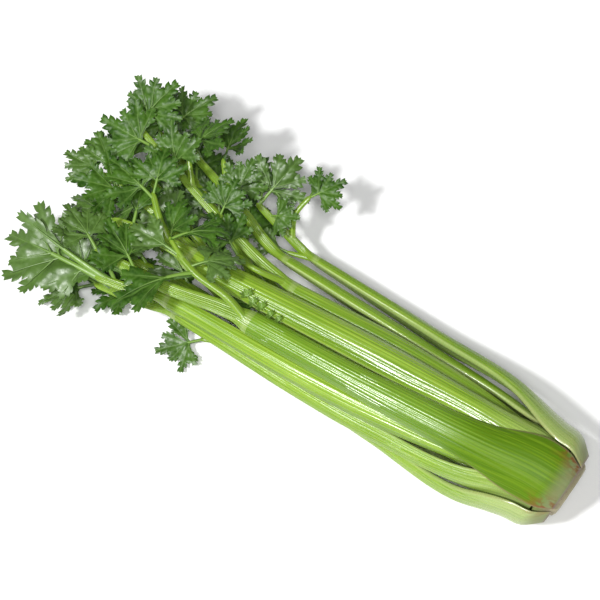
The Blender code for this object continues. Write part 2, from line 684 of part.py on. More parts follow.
def grow_leaves(growth, stems, rng):
    """The leaves of every frond: each turned, and if need be made smaller, until it is clear of the rest."""
    leaves = {name: [] for name in FRONDS}
    most = max(len(plan) for _, plan in FRONDS.values())
    order = [(name, i) for i in range(most) for name in FRONDS if i < len(FRONDS[name][1])]
    for name, index in order:
        plan = FRONDS[name][1][index]
        stem = stems[name][plan.stem]
        if stem is None:
            continue
        spec = FRONDS[name][0][plan.stem]
        share = min(plan.share, 1 - TIP_SHORT / stem.length)
        root = stem.at(share)
        wanted = place(*plan.tip) - root
        reach = float(np.linalg.norm(wanted))
        wave_phase = rng.uniform(0, 2 * math.pi)
        tilt = plan.roll + rng.uniform(-TILT_SPREAD, TILT_SPREAD)
        thin = spec.radii[0] + (spec.radii[1] - spec.radii[0]) * share
        placed = None
        for attempt in range(LEAF_TRIES * LEAF_SIZES):
            size_index, tries = divmod(attempt, LEAF_TRIES)
            size = reach * SMALLER**size_index
            spread = LEAF_STEP * tries + (SECOND_SPREAD if size_index else 0)
            yaw, pitch, roll = (rng.uniform(-1, 1) * spread for _ in range(3))
            bend = plan.bend * (1 + BEND_SPREAD * rng.uniform(-1, 1) * min(2 * attempt / LEAF_TRIES, 1))
            chord = unit(wanted)
            side, up = frame_at(chord)
            aside = side * math.tan(math.radians(yaw * TURN_ASIDE))
            chord = unit(chord + aside + up * math.tan(math.radians(pitch * TURN_ASIDE)))
            side, up = frame_at(chord)
            turn = math.radians(tilt + roll)
            up = up * math.cos(turn) + side * math.sin(turn)
            half = math.radians(bend) / 2
            ahead = chord * math.cos(half) + up * math.sin(half)
            up = up * math.cos(half) - chord * math.sin(half)
            along = max(float(ahead @ stem.along(share)), 0.0)
            sunk = SUNK_ASIDE * thin + (SUNK - SUNK_ASIDE * thin) * along**4
            length = size * half / math.sin(half) + sunk
            start = root - ahead * sunk
            flat, triangles = flat_blade(plan.kind, length)
            twist, cup = rng.uniform(-TWIST, TWIST), rng.uniform(*CUP)
            wave = rng.uniform(*WAVE) * length / DRAWN
            shape = (length, start, ahead, up, bend, twist, cup, wave, wave_phase)
            points = bent(flat, *shape)
            grown = thickened(points, triangles, LEAF_THICKNESS + 2 * CLEARANCE)
            radius = BARE + spec.radii[0]
            if not growth.hits(name, grown, beyond(*grown, root, radius)):
                placed = (plan.kind, shape)
                break
        if placed is None:
            continue
        verts, faces = thickened(points, triangles, LEAF_THICKNESS)
        growth.add(name, verts, faces, tree(*beyond(verts, faces, root, radius)))
        leaves[name].append(placed)
    return leaves


def stalk_mesh(stalk):
    rings = []
    for s in stalk_stations(stalk):
        rings.append([rooted(s, *point) for point in stalk_section(stalk, s)])
    return loft(rings)


def collar(stalk):
    """The foot of a frond: the stalk's own section, drawn in to the stem."""
    end = stalk.knuckle[0]
    points = np.array([place(end, *point) for point in stalk_section(stalk, end)])
    centre = place(*stalk.knuckle)
    rings = []
    for ahead, share in COLLAR_RINGS:
        ring = centre + (points - centre) * share
        ring[:, 0] = -(end + ahead)
        rings.append(ring)
    return loft(rings)


def crown_rings():
    """Rings of the butt, from its cut face inwards."""
    rings = []
    for s, radius in CROWN_PROFILE:
        ring = []
        for k in range(CROWN_SIDES):
            turn = 2 * math.pi * k / CROWN_SIDES
            reach = radius * (1 + CROWN_WAVE * math.sin(3 * turn + 1))
            ring.append(rooted(s, math.cos(turn) * reach, AXIS_HEIGHT + math.sin(turn) * reach))
        rings.append(ring)
    return rings


def grown_fronds():
    """The stems and leaves of every frond, clear of the stalks and of one another."""
    growth = Growth()
    for name, stalk in STALKS.items():
        growth.add("stalk_" + name, *stalk_mesh(stalk))
    for name, stalk in STALKS.items():
        verts, faces = collar(stalk)
        growth.add(name, verts, faces, tree(verts, []))
    rng = random.Random(SEED)
    stems = grow_stems(growth, rng)
    return stems, grow_leaves(growth, stems, rng)


# ---------------------------------------------------------------- the model


def material(name, colour, roughness):
    made = bpy.data.materials.new(name)
    made.use_nodes = True
    shader = made.node_tree.nodes["Principled BSDF"]
    shader.inputs["Base Color"].default_value = (*colour, 1.0)
    shader.inputs["Roughness"].default_value = roughness
    return made


def closed_mesh(name, verts, faces):
    """A mesh object, its vertices given in millimetres."""
    mesh = bpy.data.meshes.new(name)
    mesh.from_pydata([tuple(v * MM) for v in verts], [], [tuple(int(i) for i in face) for face in faces])
    bm = bmesh.new()
    bm.from_mesh(mesh)
    bmesh.ops.recalc_face_normals(bm, faces=bm.faces)
    bmesh.ops.triangulate(bm, faces=[face for face in bm.faces if len(face.verts) > 4])
    bm.to_mesh(mesh)
    bm.free()
    made = bpy.data.objects.new(name, mesh)
    bpy.context.scene.collection.objects.link(made)
    return made


def finish(made, skin):
    """Keep the object's largest shell, in triangles, and give it its material."""
    bm = bmesh.new()
    bm.from_mesh(made.data)
    bmesh.ops.triangulate(bm, faces=bm.faces)
    islands, seen = [], set()
    for vert in bm.verts:
        if vert in seen:
            continue
        island, todo = set(), [vert]
        while todo:
            v = todo.pop()
            if v in island:
                continue
            island.add(v)
            todo += [edge.other_vert(v) for edge in v.link_edges]
        seen |= island
        islands.append(island)
    largest = max(islands, key=len)
    bmesh.ops.delete(bm, geom=[v for v in bm.verts if v not in largest], context="VERTS")
    bm.to_mesh(made.data)
    bm.free()
    made.data.materials.clear()
    made.data.materials.append(skin)


def flattened(made):
    """Cut the object flat where it would pass through the table."""
    bm = bmesh.new()
    bm.from_mesh(made.data)
    if min(v.co.z for v in bm.verts) < 0:
        everything = bm.verts[:] + bm.edges[:] + bm.faces[:]
        bmesh.ops.bisect_plane(
            bm, geom=everything, dist=1e-7, plane_co=(0, 0, 0), plane_no=(0, 0, -1), clear_outer=True
        )
        bmesh.ops.holes_fill(bm, edges=[edge for edge in bm.edges if edge.is_boundary], sides=0)
        bmesh.ops.triangulate(bm, faces=bm.faces)
        bm.to_mesh(made.data)
    bm.free()


def union(base, others):
    """Fuse the other objects into the first one and remove them."""
    group = bpy.data.collections.new("fused")
    for other in others:
        bpy.context.scene.collection.objects.unlink(other)
        group.objects.link(other)
    bpy.context.scene.collection.children.link(group)
    kept = base.data.copy()
    for solver in ("MANIFOLD", "EXACT"):
        base.data = kept.copy()
        fuse = base.modifiers.new("fuse", "BOOLEAN")
        fuse.operation = "UNION"
        fuse.operand_type = "COLLECTION"
        fuse.collection = group
        fuse.solver = solver
        bpy.context.view_layer.objects.active = base
        bpy.ops.object.modifier_apply(modifier=fuse.name)
        if len(base.data.vertices) > len(kept.vertices):
            break
    for other in others:
        bpy.data.objects.remove(other)
    bpy.data.collections.remove(group)


def build_crown(skin):
    finish(closed_mesh("crown", *loft(crown_rings())), skin)


def build():
    for made in list(bpy.data.objects):
        bpy.data.objects.remove(made)
    skins = {
        "outer": material("stalk_green", (0.30, 0.50, 0.07), 0.35),
        "inner": material("stalk_pale", (0.48, 0.62, 0.16), 0.35),
        "crown": material("crown_flesh", (0.72, 0.70, 0.42), 0.55),
        "leaf": material("leaf_green", (0.06, 0.20, 0.03), 0.42),
    }
    build_crown(skins["crown"])

    for name, stalk in STALKS.items():
        made = closed_mesh("stalk_" + name, *stalk_mesh(stalk))
        flattened(made)
        finish(made, skins["outer" if stalk.ring in ("outer", "middle") else "inner"])

    stems, leaves = grown_fronds()
    for name, stalk in STALKS.items():
        base = closed_mesh("frond_" + name, *collar(stalk))
        parts = []
        for spec, path in zip(FRONDS[name][0], stems[name]):
            if path is None:
                continue
            parts.append(closed_mesh("stem", *tube(path, spec.radii, *tube_detail(spec))))
        for kind, shape in leaves[name]:
            flat, triangles = flat_blade(kind, shape[0])
            points = bent(flat, *shape)
            parts.append(closed_mesh("blade", *thickened(points, triangles, LEAF_THICKNESS)))
        union(base, parts)
        finish(base, skins["leaf"])

    corners = np.array([tuple(v.co) for made in bpy.data.objects for v in made.data.vertices])
    low, high = corners.min(axis=0), corners.max(axis=0)
    shift = Vector((-(low[0] + high[0]) / 2, -(low[1] + high[1]) / 2, -low[2]))
    for made in bpy.data.objects:
        made.data.transform(Matrix.Translation(shift))
        made.data.update()


build()
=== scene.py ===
"""A head of celery on a pale floor: fine stalks, stems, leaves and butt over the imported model.

Sizes are in millimetres and angles in degrees, and become metres when a mesh is made. The head lies
along X with the butt at +X; `s` is the distance from the butt's cut face towards the leaves, so
x = -s. Looking along the head, a direction across it is an angle from +Y (the far side) through +Z
(up). The layout is grown by the same rules and the same seed as the part's source, so every fine
piece follows its solid.
"""

import json
import math
import random
from collections import namedtuple

import bpy
import numpy as np
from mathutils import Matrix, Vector, noise
from mathutils.bvhtree import BVHTree
from mathutils.geometry import delaunay_2d_cdt

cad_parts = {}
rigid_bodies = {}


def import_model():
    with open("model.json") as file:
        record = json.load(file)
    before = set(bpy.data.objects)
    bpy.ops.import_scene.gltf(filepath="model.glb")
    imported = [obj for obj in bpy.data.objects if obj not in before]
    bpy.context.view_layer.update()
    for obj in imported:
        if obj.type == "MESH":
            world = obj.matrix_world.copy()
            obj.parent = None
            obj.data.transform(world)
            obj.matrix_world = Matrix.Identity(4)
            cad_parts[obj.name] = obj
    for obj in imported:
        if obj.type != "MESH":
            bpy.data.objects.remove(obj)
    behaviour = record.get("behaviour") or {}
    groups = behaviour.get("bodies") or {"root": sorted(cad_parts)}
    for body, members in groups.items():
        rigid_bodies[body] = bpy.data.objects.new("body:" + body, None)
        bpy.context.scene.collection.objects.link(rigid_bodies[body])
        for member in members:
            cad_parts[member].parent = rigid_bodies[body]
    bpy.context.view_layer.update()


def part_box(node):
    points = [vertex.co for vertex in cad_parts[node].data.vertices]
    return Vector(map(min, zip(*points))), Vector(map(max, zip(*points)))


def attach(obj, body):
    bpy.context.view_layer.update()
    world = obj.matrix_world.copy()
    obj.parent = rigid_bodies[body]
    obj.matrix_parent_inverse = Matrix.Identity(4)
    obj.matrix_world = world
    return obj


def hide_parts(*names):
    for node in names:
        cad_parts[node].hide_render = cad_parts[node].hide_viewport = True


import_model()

MM = 0.001

# ---------------------------------------------------------------- stalks and butt, as in the part

AXIS_HEIGHT = 36.0  # the butt's axis above the table
# Distances from the butt of a stalk's stations: where an outer stalk has turned up from the butt,
# where its foot is widest, where the foot has narrowed, and halfway up.
HEEL, FOOT, NECK, MID = 13.0, 26.0, 62.0, 130.0
RISE = 5.0  # the foot is at least this far above the stalk's first station
HEEL_IN, FOOT_OUT = 0.6, 1.6  # how far the heels draw in and the feet swell outwards
NECK_LEAN = 0.45  # how far the neck has moved from over the foot to its place at the middle station
CUT_TILT, CUT_LEVEL = 0.14, 22.0  # the cut leans back below this height over the axis, per mm
CUT_FADE = (31.0, 71.0)  # between these distances from the butt the lean fades away
NECK_WIDTH = 0.7  # a stalk's width at the neck, as a share of its foot's
NECK_CURL, MID_CURL, TOP_CURL = 44, 54, 62  # half angles of the arc at neck, middle and knuckle
START_THINNER, NECK_THICKER = 0.8, 1.15  # a stalk's thickness there, as shares of its foot's
MID_THICKNESS, TOP_THICKNESS = 7.8, 6.0
MARGIN_THINNING = 0.6  # share of a stalk's thickness lost at its two margins
MARGIN_CURL = 1.2  # how far round the tips of the margins go beyond the foot's wrap
RIB_PROFILE = 0.7  # below 1, ribs are flat on top with narrow grooves between them

# The part's plain stalks, which the fronds keep clear of.
PLAIN_RINGS = {"outer": 10, "middle": 9, "inner": 8, "heart": 7}
PLAIN_RIBS, PLAIN_RIB_POINTS, PLAIN_FACE_POINTS = 5, 2, 3
PLAIN_RIB = 0.7  # height of a rib
STATION_CROWDING = 1.5  # above 1, the rings lie closer together near the butt

CROWN_SIDES = 20
CROWN_WAVE, CROWN_WAVES, CROWN_TURN = 0.012, 3, 1  # how the butt is out of round
CUT_GRAIN = 6  # how fine the unevenness of the cut flesh is
# The butt's profile: distance from the cut face and radius.
CROWN_PROFILE = (
    (0.0, 16.8), (1.4, 18.8), (3.2, 19.4), (8.0, 23.0), (13.8, 25.6), (14.6, 20.7), (22.6, 20.4),
    (23.2, 12.4), (30.2, 11.8),
)

# Where each ring of stalks grows from the butt: radius to the middle of the stalk's thickness,
# first station, thickness at the foot and how much closer to the axis it starts.
Ring = namedtuple("Ring", "radius start thickness turn")
RINGS = {
    "outer": Ring(31.5, 3.0, 5.4, 8.5),
    "middle": Ring(23.4, 15.5, 5.4, 0.0),
    "inner": Ring(15.0, 24.0, 5.2, 0.0),
    "heart": Ring(7.2, 31.0, 4.6, 0.0),
}

# Each stalk: its ring, the angle it grows at, half the angle that its foot wraps, how far it swells
# outwards above the foot, its place across the head and the way its back faces at the middle
# station, its width there, and the same at the knuckle where the leaf branches.
Stalk = namedtuple(
    "Stalk", "ring angle wrap swell mid_place mid_facing mid_width knuckle knuckle_facing top_width"
)
STALKS = {
    "01": Stalk("outer", 110, 38, 3.2, (-19.5, 60), 108, 18.5, (228, -24, 57.5), 110, 14),
    "02": Stalk("outer", 34, 32, 4.5, (46, 28), 8, 15, (223, 48, 28), 15, 9.5),
    "03": Stalk("outer", 191, 32, 6.3, (-29, 8.4), 203, 12.5, (236, -26.5, 8.8), 206, 11.5),
    "04": Stalk("outer", 258, 31, 0.5, (-9, 4.2), 269, 18, (228, -10, 4.2), 268, 13),
    "05": Stalk("outer", 324, 30, 2.5, (19, 5.2), 278, 18, (222, 22, 4.4), 276, 12),
    "06": Stalk("middle", 73, 36, 2.7, (5, 57.5), 82, 20, (284, -7, 58), 88, 15.5),
    "07": Stalk("middle", 158, 30, 3.8, (-33.5, 27), 176, 13, (280, -34, 22), 180, 11),
    "08": Stalk("middle", -4, 32, 3.0, (33.5, 31), 8, 14, (238, 35, 34), 16, 10),
    "09": Stalk("middle", 230, 34, 0.0, (-13, 22), 235, 14, (232, -14, 21), 230, 12),
    "10": Stalk("inner", 38, 36, 3.0, (22, 44), 42, 13, (220, 17, 45), 55, 11),
    "11": Stalk("inner", 130.5, 33, 1.2, (-28.3, 44.3), 138, 13, (284, -35.5, 41), 143, 10.5),
    "12": Stalk("inner", 300, 36, 2.0, (12, 21), 300, 14, (230, 13, 21), 300, 11),
    "13": Stalk("heart", 95, 50, 2.0, (-4, 41), 95, 12, (215, -5, 41), 95, 10),
    "14": Stalk("heart", 275, 50, 2.0, (-1, 29), 270, 12, (208, -3, 29), 275, 9),
}


def unit(vector):
    return vector / np.linalg.norm(vector)


def smooth(t):
    """From 0 to 1 with a soft start and end."""
    t = min(max(t, 0.0), 1.0)
    return t * t * (3 - 2 * t)


def across(angle):
    """The unit vector across the head at this angle."""
    turn = math.radians(angle)
    return np.array((math.cos(turn), math.sin(turn)))


def place(s, y, z):
    return np.array((-s, y, z), float)


def rooted(s, y, z):
    """A place on the butt or the stalks, with the lean of the cut."""
    lean = CUT_TILT * (AXIS_HEIGHT + CUT_LEVEL - z)
    return place(s + lean * (1 - smooth((s - CUT_FADE[0]) / (CUT_FADE[1] - CUT_FADE[0]))), y, z)


def through(stations, values, s):
    """A smooth curve through the values at the stations, read at s."""
    stations = np.asarray(stations, float)
    values = np.asarray(values, float)
    slopes = np.gradient(values, stations, axis=0)
    i = int(np.clip(np.searchsorted(stations, s) - 1, 0, len(stations) - 2))
    span = stations[i + 1] - stations[i]
    t = (s - stations[i]) / span
    return (
        (2 * t**3 - 3 * t**2 + 1) * values[i]
        + (t**3 - 2 * t**2 + t) * span * slopes[i]
        + (3 * t**2 - 2 * t**3) * values[i + 1]
        + (t**3 - t**2) * span * slopes[i + 1]
    )


def loft(rings, quads=False):
    """Vertices and faces through rings of the same count of points, with flat ends."""
    count = len(rings[0])
    faces = []
    for i in range(len(rings) - 1):
        for k in range(count):
            a, b = i * count + k, i * count + (k + 1) % count
            quad = (a, b, b + count, a + count)
            faces += [quad] if quads else [quad[:3], (a, b + count, a + count)]
    faces.append(tuple(range(count))[::-1])
    faces.append(tuple(range((len(rings) - 1) * count, len(rings) * count)))
    return np.array(rings).reshape(-1, 3), faces


def arc_for(width, curl):
    """Radius of the arc that is this wide over twice the curl angle."""
    return width / 2 / math.sin(math.radians(curl))


def stalk_keys(stalk):
    """Stations of a stalk, and at each the centre of its section, the facing, the arc's radius and
    half angle, and the thickness."""
    ring = RINGS[stalk.ring]
    axis = np.array((0.0, AXIS_HEIGHT))
    foot = across(stalk.angle)

    def grown(reach, thickness):
        return (*(axis + foot * reach), stalk.angle, reach, stalk.wrap, thickness)

    def arc(width, curl, thickness):
        return arc_for(width, curl), curl, thickness

    neck_width = 2 * ring.radius * math.sin(math.radians(stalk.wrap)) * NECK_WIDTH
    over_foot = axis + foot * (ring.radius + stalk.swell)
    neck = over_foot + (np.array(stalk.mid_place) - over_foot) * NECK_LEAN
    neck = neck + foot * stalk.swell * NECK_LEAN
    turned = (stalk.mid_facing - stalk.angle + 180) % 360 - 180
    neck_arc = arc(neck_width, NECK_CURL, ring.thickness * NECK_THICKER)
    keys = [(ring.start, grown(ring.radius - ring.turn, ring.thickness * START_THINNER))]
    if ring.turn:
        keys.append((HEEL, grown(ring.radius - HEEL_IN, ring.thickness)))
    keys += [
        (max(FOOT, ring.start + RISE), grown(ring.radius + FOOT_OUT, ring.thickness)),
        (NECK, (*neck, stalk.angle + turned * NECK_LEAN, *neck_arc)),
        (MID, (*stalk.mid_place, stalk.mid_facing, *arc(stalk.mid_width, MID_CURL, MID_THICKNESS))),
    ]
    end, *top = stalk.knuckle
    top += [stalk.knuckle_facing, *arc(stalk.top_width, TOP_CURL, TOP_THICKNESS)]
    keys.append((end, top))
    return [s for s, _ in keys], [row for _, row in keys]


def round_section(ribs, rib_points, face_points):
    """The points round a stalk's section, a crescent: share of its half angle, part, and height of
    the rib there, from 0 to 1."""
    back = ribs * rib_points
    points = []
    for i in range(back + 1):
        crest = abs(math.sin(math.pi * ((i % rib_points) / rib_points))) ** RIB_PROFILE
        points.append((-1 + 2 * i / back, "back", crest))
    points.append((1, "margin", 0.0))
    points += [(1 - 2 * i / face_points, "face", 0.0) for i in range(face_points + 1)]
    return points + [(-1, "margin", 0.0)]


PLAIN_ROUND = round_section(PLAIN_RIBS, PLAIN_RIB_POINTS, PLAIN_FACE_POINTS)


def section(stalk, s, points, rise):
    """A stalk's section: its points across the head, and half the length of its arc. `rise` gives
    how far a point of the back stands out, from its share and its height on a rib."""
    y, z, facing, radius, half_angle, thickness = through(*stalk_keys(stalk), s)
    out, side = across(facing), across(facing + 90)
    places = []
    for share, part, crest in points:
        half = thickness / 2 * (1 - MARGIN_THINNING * share**2)
        turn, reach = share, radius
        if part == "back":
            reach = radius + half + rise(share, crest)
        elif part == "face":
            reach = radius - half
        else:
            turn = share * (1 + MARGIN_CURL / half_angle)
        turn = math.radians(half_angle * turn)
        offset = side * math.sin(turn) * reach + out * (math.cos(turn) * reach - radius)
        places.append((y + offset[0], z + offset[1]))
    return places, radius * math.radians(half_angle)


def plain_section(stalk, s):
    return section(stalk, s, PLAIN_ROUND, lambda share, crest: PLAIN_RIB * crest)[0]


def plain_stalk(stalk):
    start, end = RINGS[stalk.ring].start, stalk.knuckle[0]
    last = PLAIN_RINGS[stalk.ring] - 1
    stations = [start + (end - start) * (i / last) ** STATION_CROWDING for i in range(last + 1)]
    return loft([[rooted(s, *point) for point in plain_section(stalk, s)] for s in stations])


def crown_ring(s, radius, sides, ragged=0.0):
    """A ring of the butt; `ragged` is how uneven its flesh is, as a share of the radius."""
    ring = []
    for k in range(sides):
        turn = 2 * math.pi * k / sides
        y, z = math.cos(turn), math.sin(turn)
        reach = radius * (1 + CROWN_WAVE * math.sin(CROWN_WAVES * turn + CROWN_TURN))
        reach *= 1 + ragged * noise.noise((y * CUT_GRAIN, z * CUT_GRAIN, s))
        ring.append(rooted(s, y * reach, AXIS_HEIGHT + z * reach))
    return ring


def row_shift():
    """From the head's own frame to the row's, in metres: the butt is the same in both."""
    butt = np.array([crown_ring(s, radius, CROWN_SIDES) for s, radius in CROWN_PROFILE])
    return np.array(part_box("crown")[0]) - butt.reshape(-1, 3).min(axis=0) * MM


SHIFT = row_shift()

# ---------------------------------------------------------------- fronds, grown as in the part

SEED = 22
CLEARANCE = 0.45  # free space kept between pieces
LEAF_THICKNESS = 0.8
BARE = 8.0  # blades and stems of one frond may touch this near to a blade's root
COLLAR = 0.45  # gap between a stalk's end and the foot of its frond
WIDER, FLATTER = 1.12, 0.86  # a stem's width and height, as shares of its diameter
# Sides and rings of a main stem's plain tube, and of a side stem's besides its points.
MAIN_TUBE, SIDE_TUBE = (8, 6), (6, 3)
STEM_TAPER = 0.8  # below 1, a stem tapers more near its root
STRAIGHT = 6.0  # a frond's main stem goes straight on from its stalk for this far
# The collar's rings: distance from the stalk's end and share of its section.
COLLAR_RINGS = ((COLLAR, 0.98), (5.0, 0.84), (13.0, 0.42))
SUNK = 3.5  # how deep a blade's stalk is sunk in a stem that it goes straight on from,
SUNK_ASIDE = 0.8  # and in one that it leaves sideways, as a share of the stem's radius
TABLE_GAP = 0.35
STEM_TRIES, STEM_STEP = 120, 0.14  # tries to bend a stem clear, each this much farther off
LEAF_TRIES, LEAF_STEP = 40, 1.1  # tries to turn a leaf clear at each size, in degrees
LEAF_SIZES, SMALLER = 4, 0.9  # sizes that are tried, each this share of the one before
SECOND_SPREAD = 8.0  # from the second size on, the tries start this far from the plan
TURN_ASIDE = 0.7  # a leaf's line is turned by this share of the tried angles
BEND_SPREAD = 0.4
TILT_SPREAD = 28.0  # how far leaves are rolled from their plan
TWIST = 12.0  # how far a leaf twists either way along its length
CUP = (-0.25, 0.45)  # how much a leaf's sides bend up
WAVE = (0.5, 1.6)  # height of a leaf's waves at the length it is drawn
TIP_SHORT = 2.0  # a leaf at a stem's end grows this far short of it
DIRECTION_STEP = 0.02  # a path's direction is taken this share of its length before and after

# A stem leaves its parent stem at a share of the parent's length (the first one grows from the
# knuckle), passes through points (distance from the butt, across, height) and tapers from one
# radius to the other. A leaf grows on a stem at a share of its length and reaches towards its tip;
# its blade is rolled about that line from facing upwards, bends along its length (drooping when
# positive) and is one of the kinds below.
Stem = namedtuple("Stem", "parent share path radii")
Leaf = namedtuple("Leaf", "stem share tip roll bend kind", defaults=["three"])


def frond(stems, leaves):
    return [Stem(*row) for row in stems], [Leaf(*row) for row in leaves]


# In the order that they grow in.
FRONDS = {
    "01": frond([
        (None, 0, [(289, -35, 60), (340, -38, 60)], (5.2, 2.4)),
        (0, 0.03, [(247, -21, 65), (273, -20, 70), (291, -15, 72)], (2.6, 1.8)),
        (1, 0.90, [(301, -9, 73)], (1.7, 1.4)),
    ], [
        (0, 1.0, (376, -22, 62), 0, 30), (1, 0.80, (251, 8, 67), 10, 45),
        (1, 0.72, (317, -59, 47), -20, 50, "one"), (1, 1.0, (330, -16, 71), 15, 30, "one"),
        (2, 1.0, (265, 14, 75), 20, 70, "one"), (0, 0.72, (345, -20, 72), 10, 50),
    ]),
    "06": frond([
        (None, 0, [(318, -9, 57), (345, -13, 56)], (5.4, 2.4)),
        (0, 0.28, [(316, 1, 64), (330, 13, 69)], (2.3, 1.6)),
    ], [
        (0, 1.0, (384, -10, 54), -5, 40), (0, 0.85, (374, -28, 50), -15, 40, "one"),
        (1, 1.0, (340, 44, 77), 8, 45), (1, 0.85, (368, 18, 71), 0, 45),
        (0, 0.75, (362, 16, 58), 10, 40, "one"), (0, 0.30, (312, 26, 66), 10, 50),
    ]),
    "10": frond([
        (None, 0, [(285, 27, 52), (333, 39, 60), (370, 49, 66)], (4.0, 1.8)),
        (0, 0.04, [(248, 14, 50), (268, 16, 54)], (2.2, 1.5)),
        (0, 0.62, [(330, 52, 68)], (1.8, 1.4)),
    ], [
        (0, 1.0, (358, 86, 82), 10, 50), (1, 1.0, (298, 12, 62), 5, 40),
        (2, 1.0, (312, 84, 80), 10, 35), (0, 0.85, (392, 40, 70), 0, 40),
        (0, 0.45, (292, 56, 64), 15, 50), (0, 0.70, (345, 66, 76), 10, 45),
    ]),
    "08": frond([
        (None, 0, [(288, 47, 43), (334, 60, 48), (356, 66, 52)], (3.8, 1.8)),
        (0, 0.5, [(312, 66, 52)], (1.9, 1.4)),
    ], [
        (0, 1.0, (337, 99, 64), 12, 45), (0, 0.93, (388, 62, 66), 5, 40),
        (1, 1.0, (315, 98, 60), 10, 40), (0, 0.7, (362, 76, 34), -10, 40, "one"),
        (0, 0.45, (296, 78, 56), 12, 40),
    ]),
    "02": frond([
        (None, 0, [(252, 51, 33), (278, 55, 42)], (3.5, 1.9)),
        (0, 0.42, [(252, 62, 42), (249, 76, 50)], (2.0, 1.4)),
        (0, 0.06, [(245, 41, 30)], (1.8, 1.3)),
    ], [
        (0, 1.0, (268, 96, 58), 12, 35), (0, 0.93, (296, 84, 54), 0, 40),
        (1, 1.0, (234, 98, 54), 8, 30), (1, 0.85, (252, 98, 52), 40, 30, "one"),
        (0, 0.80, (239, 66, 42), 5, 40), (2, 1.0, (272, 36, 38), 0, 30, "one"),
    ]),
    "13": frond([(None, 0, [(288, 3, 44), (340, 10, 52), (370, 10, 58)], (3.6, 1.9))], [
        (0, 1.0, (401, 8, 61), 0, 35), (0, 0.93, (392, 32, 60), 10, 40, "one"),
        (0, 0.78, (350, -16, 44), -20, 40, "one"), (0, 0.85, (384, -8, 63), -5, 40),
        (0, 0.10, (247, -16, 61), 0, 20, "one"),
    ]),
    "14": frond([(None, 0, [(285, 10, 34), (335, 26, 44), (368, 32, 50)], (3.4, 1.9))], [
        (0, 1.0, (398, 24, 54), 0, 35), (0, 0.93, (386, 44, 52), 10, 40),
        (0, 0.7, (345, 46, 38), 20, 40, "one"), (0, 0.6, (350, 6, 46), -10, 40),
    ]),
    "12": frond([(None, 0, [(285, 34, 24), (335, 54, 32), (362, 64, 40)], (3.8, 2.0))], [
        (0, 1.0, (392, 66, 50), 0, 35), (0, 0.92, (372, 96, 44), 8, 40),
        (0, 0.7, (345, 82, 30), 0, 45), (0, 0.5, (318, 72, 30), 0, 45),
    ]),
    "11": frond([(None, 0, [(312, -42, 41), (336, -47, 41)], (3.9, 2.4))], [
        (0, 1.0, (411, -52, 33), -8, 25, "five"), (0, 0.8, (409, -38, 42), 10, 25, "narrow"),
        (0, 0.5, (352, -22, 42), 0, 40, "one"), (0, 0.7, (384, -20, 44), 0, 40),
    ]),
    "07": frond(
        [(None, 0, [(312, -39, 19), (342, -43, 16)], (4.0, 2.2))],
        [(0, 1.0, (368, -76, 6), -8, 30), (0, 0.92, (384, -52, 9), -4, 30)],
    ),
    "03": frond([
        (None, 0, [(275, -26, 9), (315, -28, 9)], (3.8, 2.4)),
        (0, 0.10, [(264, -33, 7)], (1.8, 1.3)),
    ], [
        (1, 1.0, (285, -58, 4), 0, 25), (0, 1.0, (356, -40, 6), 0, 20),
        (0, 0.8, (345, -10, 12), 0, 40, "one"),
    ]),
    "09": frond([(None, 0, [(285, -12, 20), (338, -18, 22)], (3.8, 2.2))], [
        (0, 1.0, (382, -24, 26), 0, 30), (0, 0.8, (362, 2, 30), 0, 40),
        (0, 0.5, (320, 8, 26), 0, 40),
    ]),
    "04": frond([(None, 0, [(280, 2, 8), (330, 6, 12)], (3.8, 2.2))], [
        (0, 1.0, (376, 6, 14), 0, 25), (0, 0.85, (356, 32, 18), 0, 30),
        (0, 0.5, (312, 28, 10), 0, 30),
    ]),
    "05": frond([(None, 0, [(280, 38, 9), (325, 50, 13)], (3.8, 2.2))], [
        (0, 1.0, (370, 62, 16), 0, 25), (0, 0.85, (340, 88, 16), 0, 30),
        (0, 0.5, (296, 74, 14), 0, 30), (0, 0.75, (372, 36, 10), 0, 30),
    ]),
}

# The leaflets of each kind of leaf, in units of its length: base, angle from the leaf's line,
# length and lobes.
LEAFLETS = {
    "three": ((0.34, 0, 0.66, "both"), (0.30, 58, 0.56, "outer"), (0.30, -58, 0.56, "outer")),
    "five": (
        (0.46, 0, 0.54, "both"), (0.38, 44, 0.50, "outer"), (0.38, -44, 0.50, "outer"),
        (0.16, 50, 0.38, "outer"), (0.16, -50, 0.38, "outer"),
    ),
    "one": ((0.30, 0, 0.70, "both"),),
    "narrow": ((0.45, 0, 0.55, "none"),),
}
# The edge of a plain lobe from its base to its tip: share of the length and of the half width.
LOBE_EDGE = ((0.0, 0.2), (0.62, 1.0), (0.72, 0.66))
# Half widths of a leaflet's middle lobe, its side lobes and a leaflet without them, as shares of
# its length.
MIDDLE_HALF, SIDE_HALF, SIMPLE_HALF = 0.18, 0.155, 0.13
SIDE_ROOT, SIDE_AHEAD, SIDE_ASIDE = 0.12, 0.70, 0.38  # a side lobe's root on the midrib; its tip
MIDDLE_BACK = 0.06  # the middle leaflet starts this far back, within the leaf's own stalk
ANGLE_VARY, MIDDLE_VARY, SIDE_VARY = (-5, 5), (0.96, 1.04), (0.92, 1.08)
# The leaf's own stalk: half width, how much wider its foot is, and how far it runs into the blade.
LEAF_STRIP, STRIP_FLARE, STRIP_PAST = 0.022, 1.3, 0.05
# The strip that joins a side leaflet to it, in shares of the leaflet's length.
JOIN = ((0.25, 0.03), (-0.05, 0.03), (-0.05, -0.03), (0.25, -0.03))
DRAWN = 50.0  # the length that leaves are drawn at
EDGE_DETAIL = 0.6  # bends of the plain edge smaller than this are left out
PLAIN_MERGE = 0.05  # points nearer than this become one
NO_LENGTH, NO_AREA = 1e-6, 1e-5
WAVE_RISE, WAVES_ALONG, WAVES_ASIDE = 4, 9, 7  # how fast waves rise off the midrib and turn


